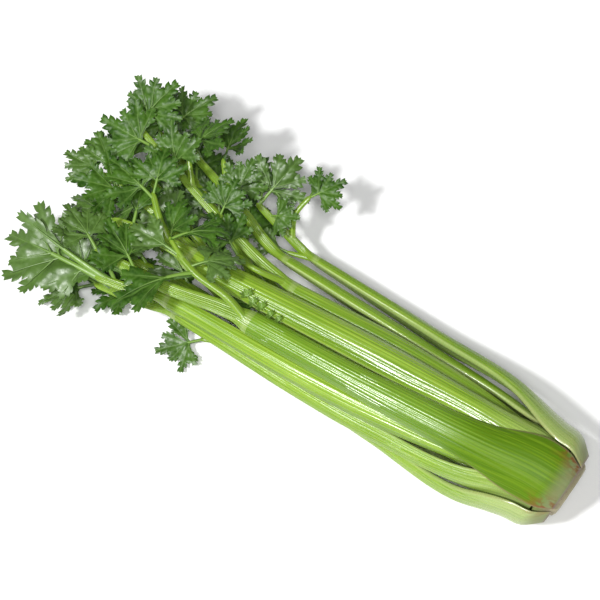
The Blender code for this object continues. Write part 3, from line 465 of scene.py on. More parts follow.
class Path:
    """A smooth line through points."""

    def __init__(self, points):
        self.points = np.array(points, float)
        steps = np.linalg.norm(np.diff(self.points, axis=0), axis=1)
        self.stations = np.concatenate(((0.0,), np.cumsum(steps)))
        self.length = self.stations[-1]

    def at(self, share):
        if len(self.points) == 2:
            return self.points[0] + (self.points[1] - self.points[0]) * share
        return through(self.stations, self.points, share * self.length)

    def along(self, share):
        a, b = max(share - DIRECTION_STEP, 0.0), min(share + DIRECTION_STEP, 1.0)
        return unit(self.at(b) - self.at(a))


def frame_at(direction):
    """The sideways and upward directions about a line."""
    side = unit(np.cross((0, 0, 1.0), direction))
    return side, np.cross(direction, side)


def stem_ring(path, share, radius, turns):
    """Places round a stem; `radius` is one for all the turns or one for each."""
    side, up = frame_at(path.along(share))
    centre = path.at(share)
    radii = np.broadcast_to(radius, len(turns))
    return [
        centre + side * (math.cos(turn) * reach * WIDER) + up * (math.sin(turn) * reach * FLATTER)
        for turn, reach in zip(turns, radii)
    ]


def tube(path, radii, sides, rings, grow=0.0):
    """Vertices and faces of a plain stem along a path."""
    turns = [2 * math.pi * (k + 0.5) / sides for k in range(sides)]
    made = []
    for share in [i / (rings - 1) for i in range(rings)]:
        radius = radii[0] + (radii[1] - radii[0]) * share**STEM_TAPER + grow
        made.append(stem_ring(path, share, radius, turns))
    return loft(made)


def beside(line):
    """The unit vector to the left of a line in a leaf's plane."""
    return np.array((-line[1], line[0])) / np.linalg.norm(line)


def spots_of(base, tip, half_width):
    """The places of a lobe, from shares of its length and of its half width."""
    base, line = np.asarray(base, float), np.asarray(tip, float) - base
    normal = beside(line)
    return lambda f, w: base + line * f + normal * w * half_width


def lobe(base, tip, half_width):
    """Outline of a plain lobe, from its base round its tip."""
    spot = spots_of(base, tip, half_width)
    edge = [spot(f, w) for f, w in LOBE_EDGE]
    return [spot(f, -w) for f, w in LOBE_EDGE] + [tip] + edge[::-1]


def leaf_lobes(kind, vary=lambda low, high: (low + high) / 2):
    """The lobes of a leaf one unit long, as root, tip and half width, and the strips that join
    them. The last strip is the leaf's own stalk."""
    lobes, strips = [], []
    for base, angle, length, shape in LEAFLETS[kind]:
        middle = angle == 0
        turn = math.radians(angle + (0 if middle else vary(*ANGLE_VARY)))
        ahead = np.array((math.cos(turn), math.sin(turn)))
        aside = np.array((-ahead[1], ahead[0]))
        foot = np.array((base - (MIDDLE_BACK if middle else 0.0), 0.0))

        def spot(u, v):
            return foot + (ahead * u + aside * v) * length

        half = SIMPLE_HALF if shape == "none" else MIDDLE_HALF
        lobes.append((spot(0, 0), spot(vary(*MIDDLE_VARY), 0), half * length))
        for side in (1, -1):
            if shape == "none" or (shape == "outer" and side * angle < 0):
                continue
            tip = spot(SIDE_AHEAD * vary(*SIDE_VARY), side * SIDE_ASIDE * vary(*SIDE_VARY))
            lobes.append((spot(SIDE_ROOT, 0), tip, SIDE_HALF * length))
        if not middle:
            strips.append([spot(u, v) for u, v in JOIN])
    reach, w = max(base for base, *_ in LEAFLETS[kind]) + STRIP_PAST, LEAF_STRIP
    return lobes, strips + [[(0, -w * STRIP_FLARE), (reach, -w), (reach, w), (0, w * STRIP_FLARE)]]


def facing_up(flat, triangles):
    """The triangles turned the same way, without slivers of no area."""
    kept = []
    for a, b, c in triangles:
        area = np.cross(flat[b] - flat[a], flat[c] - flat[a])
        if abs(area) > NO_AREA:
            kept.append((a, b, c) if area > 0 else (a, c, b))
    return kept


def mesh_within(points, edges, merge):
    """Points and triangles of what the edges close in, in a leaf's plane."""
    flat, _, triangles, *_ = delaunay_2d_cdt([Vector(p) for p in points], edges, [], 1, merge)
    flat = np.array([tuple(p) for p in flat])
    return flat, facing_up(flat, triangles)


def joint_shape(polygons, merge):
    """The joint shape of polygons one unit long, at the length that leaves are drawn."""
    points, edges = [], []
    for polygon in polygons:
        start, count = len(points), len(polygon)
        points += [np.asarray(p) * DRAWN for p in polygon]
        edges += [(start + i, start + (i + 1) % count) for i in range(count)]
    return mesh_within(points, edges, merge)


def rim_of(triangles):
    """The edges that only one triangle has, each in that triangle's direction."""
    edges = {(t[i], t[(i + 1) % 3]) for t in triangles for i in range(3)}
    return [(a, b) for a, b in sorted(edges) if (b, a) not in edges]


def plain_blade(kind):
    """Points and few triangles of a flat leaf with plain lobes, at the length it is drawn."""
    lobes, strips = leaf_lobes(kind)
    flat, triangles = joint_shape([lobe(*part) for part in lobes] + strips, PLAIN_MERGE)
    onward = dict(rim_of(triangles))
    loop = [min(onward, key=lambda i: flat[i][0])]
    while onward[loop[-1]] != loop[0]:
        loop.append(onward[loop[-1]])
    outline = [flat[i] for i in loop]
    i = 0
    while i < len(outline):
        before, after = outline[i - 1], outline[(i + 1) % len(outline)]
        line = after - before
        off = abs(np.cross(line, outline[i] - before)) / np.linalg.norm(line)
        if off < EDGE_DETAIL and abs(outline[i][0]) > NO_LENGTH:
            del outline[i]
            i = 0
        else:
            i += 1
    ribs = [root + (tip - root) * 0.5 for root, tip, _ in lobes]
    ribs.append(np.array(strips[-1][1]) * (0.5, 0))
    edges = [(i, (i + 1) % len(outline)) for i in range(len(outline))]
    return mesh_within(outline + [p * DRAWN for p in ribs], edges, PLAIN_MERGE)


PLAIN_BLADES = {kind: plain_blade(kind) for kind in LEAFLETS}


def bent(flat, length, root, ahead, up, bend, twist, cup, wave, phase):
    """The flat leaf's points in space."""
    aside = np.cross(up, ahead)
    u, v = flat[:, :1], flat[:, 1:]
    total = math.radians(bend)
    radius = length / total
    turn = total * np.maximum(u, 0) / length
    forward = np.where(u > 0, radius * np.sin(turn), u)
    drop = radius * (1 - np.cos(turn))
    swing = math.radians(twist) * np.maximum(u, 0) / length
    level = up * np.cos(turn) + ahead * np.sin(turn)
    side = aside * np.cos(swing) + level * np.sin(swing)
    normal = level * np.cos(swing) - aside * np.sin(swing)
    ripple = wave * np.minimum(np.abs(v) / length * WAVE_RISE, 1.0)
    ripple = ripple * np.sin(u / length * WAVES_ALONG + v / length * WAVES_ASIDE + phase)
    return root + ahead * forward - up * drop + side * v + normal * (cup * v * v / length + ripple)


def normals_at(points, triangles):
    corners = np.array(triangles)
    a, b, c = (points[corners[:, i]] for i in range(3))
    facing = np.cross(b - a, c - a)
    normals = np.zeros_like(points)
    for i in range(3):
        np.add.at(normals, corners[:, i], facing)
    lengths = np.linalg.norm(normals, axis=1)
    lengths[lengths == 0] = 1
    return normals / lengths[:, None]


def thickened(points, triangles, thickness):
    """A closed sheet about the points, with the same triangles on both faces."""
    normals = normals_at(points, triangles)
    count = len(points)
    verts = (points + normals * thickness / 2, points - normals * thickness / 2)
    faces = list(triangles) + [(c + count, b + count, a + count) for a, b, c in triangles]
    for a, b in rim_of(triangles):
        faces += [(b, a, a + count), (b, a + count, b + count)]
    return np.concatenate(verts), faces


def tree(verts, faces):
    return BVHTree.FromPolygons([Vector(v) for v in verts], faces, all_triangles=False, epsilon=0.0)


def beyond(verts, faces, root, distance):
    """The faces that lie wholly farther from the root than this."""
    far = np.linalg.norm(verts - root, axis=1) > distance
    return verts, [face for face in faces if all(far[i] for i in face)]


class Growth:
    """Everything placed so far, to keep new pieces clear of it."""

    def __init__(self):
        self.placed = []  # owner, tree of the whole piece, tree of the piece without its root

    def add(self, owner, whole, bare=None):
        self.placed.append((owner, tree(*whole), tree(*(bare or whole))))

    def hits(self, owner, whole, bare):
        if whole[0][:, 2].min() < TABLE_GAP:
            return True
        whole_tree, bare_tree = tree(*whole), tree(*bare)
        return any(
            bare_tree.overlap(trimmed) if other == owner else whole_tree.overlap(full)
            for other, full, trimmed in self.placed
        )


def collar(stalk):
    """The foot of a frond: the stalk's own section, drawn in to the stem."""
    end, centre = stalk.knuckle[0], place(*stalk.knuckle)
    points = np.array([place(end, *point) for point in plain_section(stalk, end)])
    rings = []
    for ahead, share in COLLAR_RINGS:
        ring = centre + (points - centre) * share
        ring[:, 0] = -(end + ahead)
        rings.append(ring)
    return loft(rings)


def grow_stems(growth, rng):
    """The stems of every frond, bent clear of one another: the main ones first."""
    stems = {name: [] for name in FRONDS}
    for level in range(max(len(plan) for plan, _ in FRONDS.values())):
        for name, (plan, _) in FRONDS.items():
            if level >= len(plan):
                continue
            stem, knuckle = plan[level], STALKS[name].knuckle
            if stem.parent is None:
                root = place(knuckle[0] + COLLAR, *knuckle[1:])
                fixed, bare_from = [root, root - np.array((STRAIGHT, 0.0, 0.0))], 0
                sides, rings = MAIN_TUBE
            else:
                root = stems[name][stem.parent].at(stem.share)
                fixed, bare_from = [root], BARE
                sides, rings = SIDE_TUBE[0], SIDE_TUBE[1] + len(stem.path)
            for attempt in range(STEM_TRIES):
                points = list(fixed)
                for i, point in enumerate(stem.path):
                    shift = np.array([rng.uniform(-1, 1) for _ in range(3)]) * (STEM_STEP * attempt)
                    points.append(place(*point) + shift * (i + 1) / len(stem.path))
                path = Path(points)
                grown = tube(path, stem.radii, sides, rings, CLEARANCE)
                if not growth.hits(name, grown, beyond(*grown, root, bare_from)):
                    break
            stems[name].append(path)
            growth.add(name, tube(path, stem.radii, sides, rings))
    return stems


def grow_leaves(growth, stems, rng):
    """The leaves of every frond, as kind and shape: each turned, and if need be made smaller, until
    it is clear of the rest."""
    leaves = {name: [] for name in FRONDS}
    most = max(len(plan) for _, plan in FRONDS.values())
    order = [(name, i) for i in range(most) for name in FRONDS if i < len(FRONDS[name][1])]
    for name, index in order:
        plan = FRONDS[name][1][index]
        stem, radii = stems[name][plan.stem], FRONDS[name][0][plan.stem].radii
        share = min(plan.share, 1 - TIP_SHORT / stem.length)
        root = stem.at(share)
        wanted = place(*plan.tip) - root
        reach = float(np.linalg.norm(wanted))
        wave_phase = rng.uniform(0, 2 * math.pi)
        tilt = plan.roll + rng.uniform(-TILT_SPREAD, TILT_SPREAD)
        side_sunk = SUNK_ASIDE * (radii[0] + (radii[1] - radii[0]) * share)
        bare_from = BARE + radii[0]
        for attempt in range(LEAF_TRIES * LEAF_SIZES):
            size_index, tries = divmod(attempt, LEAF_TRIES)
            size = reach * SMALLER**size_index
            spread = LEAF_STEP * tries + (SECOND_SPREAD if size_index else 0)
            yaw, pitch, roll = (rng.uniform(-1, 1) * spread for _ in range(3))
            looser = BEND_SPREAD * rng.uniform(-1, 1) * min(2 * attempt / LEAF_TRIES, 1)
            bend = plan.bend * (1 + looser)
            chord = unit(wanted)
            side, up = frame_at(chord)
            aside = side * math.tan(math.radians(yaw * TURN_ASIDE))
            chord = unit(chord + aside + up * math.tan(math.radians(pitch * TURN_ASIDE)))
            side, up = frame_at(chord)
            turn = math.radians(tilt + roll)
            up = up * math.cos(turn) + side * math.sin(turn)
            half = math.radians(bend) / 2
            ahead = chord * math.cos(half) + up * math.sin(half)
            up = up * math.cos(half) - chord * math.sin(half)
            along = max(float(ahead @ stem.along(share)), 0.0)
            sunk = side_sunk + (SUNK - side_sunk) * along**4
            length = size * half / math.sin(half) + sunk
            twist, cup = rng.uniform(-TWIST, TWIST), rng.uniform(*CUP)
            wave = rng.uniform(*WAVE) * length / DRAWN
            shape = (length, root - ahead * sunk, ahead, up, bend, twist, cup, wave, wave_phase)
            flat, triangles = PLAIN_BLADES[plan.kind]
            points = bent(flat * length / DRAWN, *shape)
            grown = thickened(points, triangles, LEAF_THICKNESS + 2 * CLEARANCE)
            if not growth.hits(name, grown, beyond(*grown, root, bare_from)):
                break
        blade = thickened(points, triangles, LEAF_THICKNESS)
        growth.add(name, blade, beyond(*blade, root, bare_from))
        leaves[name].append((plan.kind, shape))
    return leaves


def grown_fronds():
    """The stems and leaves of every frond, clear of the stalks and of one another."""
    growth = Growth()
    for name, stalk in STALKS.items():
        growth.add("stalk_" + name, plain_stalk(stalk))
    for name, stalk in STALKS.items():
        foot = collar(stalk)
        growth.add(name, foot, (foot[0], []))
    rng = random.Random(SEED)
    stems = grow_stems(growth, rng)
    return stems, grow_leaves(growth, stems, rng)

# ---------------------------------------------------------------- shown pieces

SPACING = 2.6  # between the rings of a stalk or stem
SHARP = 62  # edges sharper than this are not shaded smooth


class Parts:
    """Meshes gathered into one shown piece, with values for its material at their vertices."""

    def __init__(self, *keys):
        self.verts, self.faces, self.values = [], [], {key: [] for key in keys}
        self.count = 0

    def add(self, verts, faces, **values):
        self.verts.append(verts)
        self.faces += [tuple(int(i) + self.count for i in face) for face in faces]
        self.count += len(verts)
        for key, numbers in self.values.items():
            numbers.append(np.broadcast_to(values.get(key, 0.0), len(verts)))

    def piece(self, name, node, skin):
        """The piece that stands for a CAD node."""
        mesh = bpy.data.meshes.new(name)
        mesh.from_pydata((np.concatenate(self.verts) * MM + SHIFT).tolist(), [], self.faces)
        for key, numbers in self.values.items():
            numbers = np.concatenate(numbers).astype(np.float32)
            mesh.attributes.new(key, "FLOAT", "POINT").data.foreach_set("value", numbers)
        mesh.polygons.foreach_set("use_smooth", [True] * len(mesh.polygons))
        mesh.set_sharp_from_angle(angle=math.radians(SHARP))
        mesh.materials.append(skin)
        mesh.validate()
        made = bpy.data.objects.new(name, mesh)
        bpy.context.scene.collection.objects.link(made)
        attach(made, "root")
        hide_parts(node)


# ---- stalks

RIB_COUNTS = {"outer": 13, "middle": 12, "inner": 9, "heart": 7}
RIB_POINTS, FACE_POINTS = 5, 13  # across each rib of the back, and across the hollow face
RIB_HEIGHT, RIB_SUNK = 0.30, 0.25  # and how much of a rib lies under the smooth back
FOOT_RIB, FOOT_RIB_LENGTH = 0.35, 90  # ribs start with this share of their height over this length,
END_RIB, END_RIB_LENGTH = 0.5, 12  # and fade to this share of it at the knuckle
MARGIN_RIB = 0.5  # share of a rib's height lost at the margins
# How much the height of a rib wanders, over which length, and how fast it does across the stalk.
WANDER, WANDER_LENGTH, WANDER_ACROSS = 0.9, 40, 9
STAIN, FAINT_STAIN = 1.0, 0.25  # how stained stalk 01, on top, is, and the others


def phase_of(name):
    """A number of its own for each stalk's random looks."""
    return float(int(name) * 7)


def fine_section(stalk, s, points, depth, phase):
    """A stalk's section with every rib, no two of them alike, and half the length of its arc."""

    def rise(share, crest):
        wander = noise.noise((s / WANDER_LENGTH, share * WANDER_ACROSS, phase)) * WANDER
        return depth * (crest * (1 + wander) - RIB_SUNK) * (1 - MARGIN_RIB * share**6)

    places, reach = section(stalk, s, points, rise)
    return [rooted(s, y, max(z, 0.0)) for y, z in places], reach


def build_stalk(name, stalk, skin):
    points = round_section(RIB_COUNTS[stalk.ring], RIB_POINTS, FACE_POINTS)
    shares, sides, crests = zip(*points)
    start, end = RINGS[stalk.ring].start, stalk.knuckle[0]
    last = int((end - start) / SPACING)
    stations = [start + (end - start) * i / last for i in range(last + 1)]
    rings, round_ = [], []
    for s in stations:
        depth = FOOT_RIB + (1 - FOOT_RIB) * smooth((s - start) / FOOT_RIB_LENGTH)
        depth *= END_RIB + (1 - END_RIB) * smooth((end - s) / END_RIB_LENGTH)
        ring, reach = fine_section(stalk, s, points, RIB_HEIGHT * depth, phase_of(name))
        rings.append(ring)
        round_ += [share * reach for share in shares]
    made = Parts("along", "round", "share", "crest", "face", "tone", "stain")
    made.add(
        *loft(rings, quads=True), along=np.repeat(stations, len(points)), round=round_,
        share=shares * len(rings), crest=crests * len(rings),
        face=[float(side == "face") for side in sides] * len(rings), tone=phase_of(name),
        stain=STAIN if name == "01" else FAINT_STAIN,
    )
    made.piece("fine_stalk_" + name, "stalk_" + name, skin)


# ---- stems

COLLAR_LENGTH = 18.0  # over which a stalk's section narrows to the stem,
COLLAR_SHRINK = 0.5  # and shrinks by this share meanwhile
BACK_ROUND = 112  # half the turn round a main stem that the stalk's back takes
SIDE_POINTS = 18  # round a side stem
GROOVE = 0.055  # height of a stem's ribs, as a share of its radius
FLARE, FLARE_LENGTH = 0.3, 2.5  # how much wider a side stem is at its root
TIP_LENGTH, TIP_RINGS, TIP_LEAST = 3.0, 6, 0.02  # a stem's rounded end, in its radius
RING_PLACE, RING_WIDTH = 1.5, 1.6  # the pale ring at the foot of a main stem,
SIDE_PALE, SIDE_PALE_LENGTH = 0.4, 5  # and the pale root of a side stem


def stem_rings(path, radii, turns, grooves, start_ring=None, flare=0.0):
    """Rings of a fine stem along a path, and how far along it each one is."""
    end = min(TIP_LENGTH * radii[1], path.length / 3)
    count = max(int(path.length / SPACING), 4)
    far = [i / count * (path.length - end) for i in range(count)]
    far += [path.length - end * (1 - i / TIP_RINGS) for i in range(TIP_RINGS + 1)]
    rings = []
    for d in far:
        share = d / path.length
        radius = radii[0] + (radii[1] - radii[0]) * share**STEM_TAPER
        radius *= 1 + flare * math.exp(-d / FLARE_LENGTH)
        past = max((d - path.length + end) / end, 0)
        radius *= math.sqrt(max(1 - past**2, TIP_LEAST))
        ring = stem_ring(path, share, radius * (1 + GROOVE * np.array(grooves)), turns)
        if start_ring is not None and d < COLLAR_LENGTH:
            t = smooth(d / COLLAR_LENGTH)
            centre, shrink = path.at(share), 1 - COLLAR_SHRINK * t
            pairs = zip(start_ring, ring)
            ring = [(centre + offset * shrink) * (1 - t) + point * t for offset, point in pairs]
        rings.append(ring)
    return rings, far


def build_stems(name, stalk, stems, skin):
    """The stems of a frond: the main one grows out of the stalk's own section."""
    points = round_section(RIB_COUNTS[stalk.ring], RIB_POINTS, FACE_POINTS)
    end = stalk.knuckle[0]
    start_ring, _ = fine_section(stalk, end, points, RIB_HEIGHT * END_RIB, phase_of(name))
    start_ring = [point - place(*stalk.knuckle) for point in start_ring]
    main_turns, main_grooves, main_crests = [], [], [crest for _, _, crest in points]
    for share, part, crest in points:
        turn = share * BACK_ROUND
        if part == "face":
            turn = BACK_ROUND + (1 - share) / 2 * (360 - 2 * BACK_ROUND)
        main_turns.append(math.radians(180 - (stalk.knuckle_facing + turn)))
        main_grooves.append(crest * 2 - 1 if part == "back" else 0.0)
    side_turns = [2 * math.pi * k / SIDE_POINTS for k in range(SIDE_POINTS)]
    side_grooves = [(-1) ** k for k in range(SIDE_POINTS)]
    made = Parts("along", "round", "crest", "tone", "knuckle")
    for spec, path in zip(FRONDS[name][0], stems):
        if spec.parent is None:
            turns, crests = main_turns, main_crests
            rings, far = stem_rings(path, spec.radii, turns, main_grooves, start_ring)
            rings.insert(0, [point + np.array((COLLAR, 0, 0)) for point in rings[0]])
            far.insert(0, 0.0)
            knuckle = [math.exp(-(((d - RING_PLACE) / RING_WIDTH) ** 2)) for d in far]
        else:
            turns, crests = side_turns, [(1 + groove) / 2 for groove in side_grooves]
            rings, far = stem_rings(path, spec.radii, turns, side_grooves, flare=FLARE)
            knuckle = [SIDE_PALE * smooth(1 - d / SIDE_PALE_LENGTH) for d in far]
        made.add(
            *loft(rings, quads=True), along=np.repeat(far, len(turns)),
            round=[turn * spec.radii[0] for turn in turns] * len(far), crest=crests * len(far),
            tone=float(int(name)), knuckle=np.repeat(knuckle, len(turns)),
        )
    made.piece("fine_stems_" + name, "frond_" + name, skin)


# ---- leaves

BLADE = 0.42  # thickness of a leaf
FINE_MERGE, GRID_MERGE = 0.04, 0.02
# The teeth of a lobe's edge: share of its length and of its half width, and how much both vary.
TEETH = ((0.42, 0.62), (0.61, 0.98), (0.78, 0.86), (0.91, 0.52))
TOOTH_VARY, TOOTH_REACH_VARY = (-0.02, 0.02), (0.90, 1.10)
# The points of one tooth: how far ahead of it, in which share of its reach and how much beyond it.
TOOTH = ((-0.10, 1, -0.24), (-0.045, 1, -0.05), (0, 1, 0), (0.07, 1.03, 0), (0.045, 1, -0.38))
LOBE_ROOT, LOBE_TIP = (0.0, 0.2), (0.96, 0.14)  # the edge before its first tooth and after its last
VEIN_BACK = 0.22  # a side vein leaves the middle one this far behind its tooth
MAIN_VEIN, SIDE_VEIN = 1.0, 0.5
GRID, GRID_ROW, GRID_VARY = 1.2, 1.2 * 0.87, (-0.2, 0.2)  # between the points within a leaf
GRID_CLEAR = 0.45  # and from them to its edge
# How high a blade rises beside its main and side veins, and over which distance.
MAIN_RISE, MAIN_SLOPE, SIDE_RISE, SIDE_SLOPE = 1.6, 3.2, 0.6, 0.9
EDGE_NEAR, EDGE_RISE = 1.2, 0.4  # this near to its edge it rises less, down to this share
# Widths of the pale lines along main and side veins, and how pale the side ones are.
MAIN_LINE, SIDE_LINE, SIDE_LINE_PALE = 0.7, 0.4, 0.55
CRUMPLE, CRUMPLE_SIZE = 0.9, 5.0
SWELL, SWELL_SIZE = 2.6, 13.0
RELIEF_LEVEL = 1.0  # the height of the relief that lies on the solid's leaf
VARIETY = 40  # how far apart two leaves can lie in the noise
TUBE_SIDES, TUBE_STEP, TUBE_PROBE = 8, 1.6, 0.3  # of a raised vein
TUBE_RISE, TUBE_DROP = 0.62, 0.95  # its height over and under its middle, in its radius
# Radii of the raised veins where they start and end, and the share of a lobe that they reach along.
STALK_RADII, MIDRIB, RIB, RIB_TIP, RIB_REACH = (1.35, 0.95), 0.72, 0.5, 0.12, 0.85
# Young leaflets that peep out between the two stalks on top: root, turn towards the far side,
# length.
SHOOTS = (
    ((237, -12, 59.5), 30, 9), ((231, -12.5, 58.8), 10, 7), ((225, -12.5, 58.3), 20, 7.5),
    ((218, -12.8, 57.6), 8, 6), ((212, -12.8, 57.2), 14, 5.5),
)
SHOOT_LIFT, SHOOT_UP = 0.22, (0.2, -0.5, 1.0)
SHOOT_FORM = (12, 15, 2.2, 0.3, 0.0)  # bend, twist, cup, wave and its phase
SHOOT_PALE = 0.75
# How pale and shiny a leaf is, 0 (deep green) to 1, for the leaves that lie on top.
LEAF_TONES = {
    "01": {0: 0.85, 1: 0.9, 2: 0.15, 3: 0.85, 4: 0.05, 5: 0.3},
    "02": {0: 0.75, 1: 0.5, 2: 0.1, 3: 0.15, 4: 0.55},
    "03": {1: 0.3, 2: 0.2},
    "05": {0: 0.5, 1: 0.6},
    "06": {0: 0.75, 1: 0.6, 2: 0.2, 3: 0.25, 4: 0.1, 5: 0.15},
    "07": {0: 0.95, 1: 0.2},
    "08": {0: 0.5, 1: 0.15, 2: 0.3, 4: 0.6},
    "10": {0: 0.35, 1: 0.3, 2: 0.4, 3: 0.2, 4: 0.35, 5: 0.5},
    "11": {0: 0.95, 1: 1.0, 2: 0.2},
    "12": {0: 0.1, 1: 0.2, 2: 0.3, 3: 0.6},
    "13": {0: 0.75, 1: 0.6, 2: 0.6, 3: 0.1},
    "14": {0: 0.3, 1: 0.15, 2: 0.6},
}


def toothed(base, tip, half_width, rng):
    """Outline of a lobe with teeth that point towards its tip."""
    spot = spots_of(base, tip, half_width)
    halves = []
    for side in (1, -1):
        edge = [spot(LOBE_ROOT[0], LOBE_ROOT[1] * side)]
        for f, w in TEETH:
            f += rng.uniform(*TOOTH_VARY)
            w *= rng.uniform(*TOOTH_REACH_VARY)
            edge += [spot(f + on, side * (w * wide + past)) for on, wide, past in TOOTH]
        halves.append(edge + [spot(LOBE_TIP[0], LOBE_TIP[1] * side)])
    return halves[1] + [tip] + halves[0][::-1]


def fine_outline(kind, rng):
    """Polygons of a flat leaf one unit long, and its veins: start, end and weight."""
    lobes, strips = leaf_lobes(kind, rng.uniform)
    polygons, veins = strips, [((0.0, 0.0), (strips[-1][1][0], 0.0), MAIN_VEIN)]
    for root, tip, half_width in lobes:
        polygons.append(toothed(root, tip, half_width, rng))
        spot = spots_of(root, tip, half_width)
        veins.append((root, tip, MAIN_VEIN))
        for f, w in TEETH[:-1]:
            veins += [(spot(f - VEIN_BACK, 0), spot(f, w * side), SIDE_VEIN) for side in (1, -1)]
    return polygons, veins


def nearest(points, segments):
    """Distance of each point from the nearest of the segments."""
    a, b = segments[:, 0], segments[:, 1]
    line = b - a
    t = ((points[:, None] - a) * line).sum(axis=2) / np.maximum((line**2).sum(axis=1), 1e-9)
    spots = a + np.clip(t, 0, 1)[..., None] * line
    return np.linalg.norm(points[:, None] - spots, axis=2).min(axis=1)


def bell(distance, width):
    return np.exp(-((distance / width) ** 2))


def fine_flat(kind, rng):
    """A flat leaf at its drawn length: points, triangles, height of the relief, how pale the veins
    make it, and the veins."""
    polygons, veins = fine_outline(kind, rng)
    flat, triangles = joint_shape(polygons, FINE_MERGE)
    rim = rim_of(triangles)
    segments = flat[np.array(rim)]
    low, high = flat.min(axis=0), flat.max(axis=0)
    grid = []
    for j in range(int((high[1] - low[1]) / GRID_ROW) + 1):
        u = low[0] + (j % 2) * GRID / 2
        v = low[1] + j * GRID_ROW
        while u < high[0]:
            grid.append((u + rng.uniform(*GRID_VARY), v + rng.uniform(*GRID_VARY)))
            u += GRID
    grid = np.array(grid)
    grid = grid[nearest(grid, segments) > GRID_CLEAR]
    corners = sorted({i for pair in rim for i in pair})
    index = {old: new for new, old in enumerate(corners)}
    edges = [(index[a], index[b]) for a, b in rim]
    flat, triangles = mesh_within(list(flat[corners]) + list(grid), edges, GRID_MERGE)
    used = sorted({i for t in triangles for i in t})
    index = {old: new for new, old in enumerate(used)}
    flat, triangles = flat[used], [tuple(index[i] for i in t) for t in triangles]
    lines = [[np.asarray(end, float) * DRAWN for end in vein[:2]] for vein in veins]
    main_lines = [line for line, vein in zip(lines, veins) if vein[2] == MAIN_VEIN]
    main, side = nearest(flat, np.array(main_lines)), nearest(flat, np.array(lines))
    relief = MAIN_RISE * (1 - bell(main, MAIN_SLOPE)) + SIDE_RISE * (1 - bell(side, SIDE_SLOPE))
    inward = np.minimum(nearest(flat, segments) / EDGE_NEAR, 1)
    relief *= inward * (1 - EDGE_RISE) + EDGE_RISE
    pale = np.maximum(bell(main, MAIN_LINE), SIDE_LINE_PALE * bell(side, SIDE_LINE))
    return flat, triangles, relief, pale, veins


def vein_tube(start, end, radii, shape, scale):
    """Rings of a raised vein that follows the bent leaf between two of its flat points."""
    start, end = np.asarray(start, float) * DRAWN, np.asarray(end, float) * DRAWN
    count = max(int(np.linalg.norm(end - start) / TUBE_STEP), 3)
    line = unit(end - start)
    aside = np.array((-line[1], line[0]))
    turns = [2 * math.pi * k / TUBE_SIDES for k in range(TUBE_SIDES)]
    rings = []
    for t in [i / count for i in range(count + 1)]:
        centre = start + (end - start) * t
        radius = radii[0] + (radii[1] - radii[0]) * t**STEM_TAPER
        spots = np.array([centre, centre + line * TUBE_PROBE, centre + aside * TUBE_PROBE]) * scale
        here, ahead, beside_ = bent(spots, *shape)
        normal = unit(np.cross(ahead - here, beside_ - here))
        flat = np.array([centre + aside * math.cos(turn) * radius for turn in turns]) * scale
        heights = [math.sin(turn) * radius for turn in turns]
        lifts = np.array([h * (TUBE_RISE if h > 0 else TUBE_DROP) for h in heights])
        rings.append(bent(flat, *shape) + normal * lifts[:, None] * scale)
    return rings


def shoots():
    made = []
    for root, turn, length in SHOOTS:
        turn = math.radians(turn)
        ahead = unit(np.array((-math.cos(turn), math.sin(turn), SHOOT_LIFT)))
        up = unit(np.cross(ahead, np.cross(np.array(SHOOT_UP), ahead)))
        made.append(("three", (float(length), place(*root), ahead, up, *SHOOT_FORM)))
    return made


def noise_over(flat, size, layer):
    return np.array([noise.noise((u / size, v / size, layer)) for u, v in flat])


def build_leaves(name, leaves, young, skin):
    made = Parts("vein", "under", "tone", "stem")
    for number, (kind, shape) in enumerate(leaves + young):
        rng = random.Random(1000 * int(name) + number)
        flat, triangles, relief, pale, veins = fine_flat(kind, rng)
        scale = shape[0] / DRAWN
        tone = rng.uniform(0, 1)
        points = bent(flat * scale, *shape)
        crumple = CRUMPLE * noise_over(flat, CRUMPLE_SIZE, tone * VARIETY)
        swell = SWELL * noise_over(flat, SWELL_SIZE, tone * VARIETY + VARIETY / 2)
        lift = (relief - RELIEF_LEVEL + crumple + swell) * scale
        points = points + normals_at(points, triangles) * lift[:, None]
        tone = LEAF_TONES.get(name, {}).get(number, tone)
        made.add(
            *thickened(points, triangles, BLADE), vein=np.tile(pale, 2), tone=tone,
            under=np.repeat((0, 1), len(points)), stem=SHOOT_PALE if number >= len(leaves) else 0.0,
        )
        lines = [((0, 0), (max(base for base, *_ in LEAFLETS[kind]), 0), STALK_RADII)]
        for a, b, weight in veins[1:]:
            if weight == MAIN_VEIN:
                reach = np.asarray(a) + (np.asarray(b) - np.asarray(a)) * RIB_REACH
                lines.append((a, reach, (MIDRIB if abs(b[1]) < NO_LENGTH else RIB, RIB_TIP)))
        for a, b, radii in lines:
            rings = vein_tube(a, b, radii, shape, scale)
            thick = np.linspace(radii[0], radii[1], len(rings)) / STALK_RADII[0]
            stem = np.repeat(thick, TUBE_SIDES)
            made.add(*loft(rings, quads=True), vein=1.0, tone=tone, stem=stem)
    made.piece("fine_leaves_" + name, "frond_" + name, skin)


# ---- the butt

FINE_SIDES = 144
CUT_RAGGED = 0.035  # how uneven the cut flesh is
# The cut face: distance from the cut and radius.
CUT_FACE = ((0.25, 2.0), (0.1, 6.0), (0.2, 10.0), (0.0, 14.0))


def build_crown(skin):
    profile = CUT_FACE + CROWN_PROFILE
    along, reach = np.repeat(profile, FINE_SIDES, axis=0).T
    made = Parts("along", "reach")
    rings = [crown_ring(s, radius, FINE_SIDES, CUT_RAGGED) for s, radius in profile]
    made.add(*loft(rings, quads=True), along=along, reach=reach)
    made.piece("fine_crown", "crown", skin)


# ---------------------------------------------------------------- materials


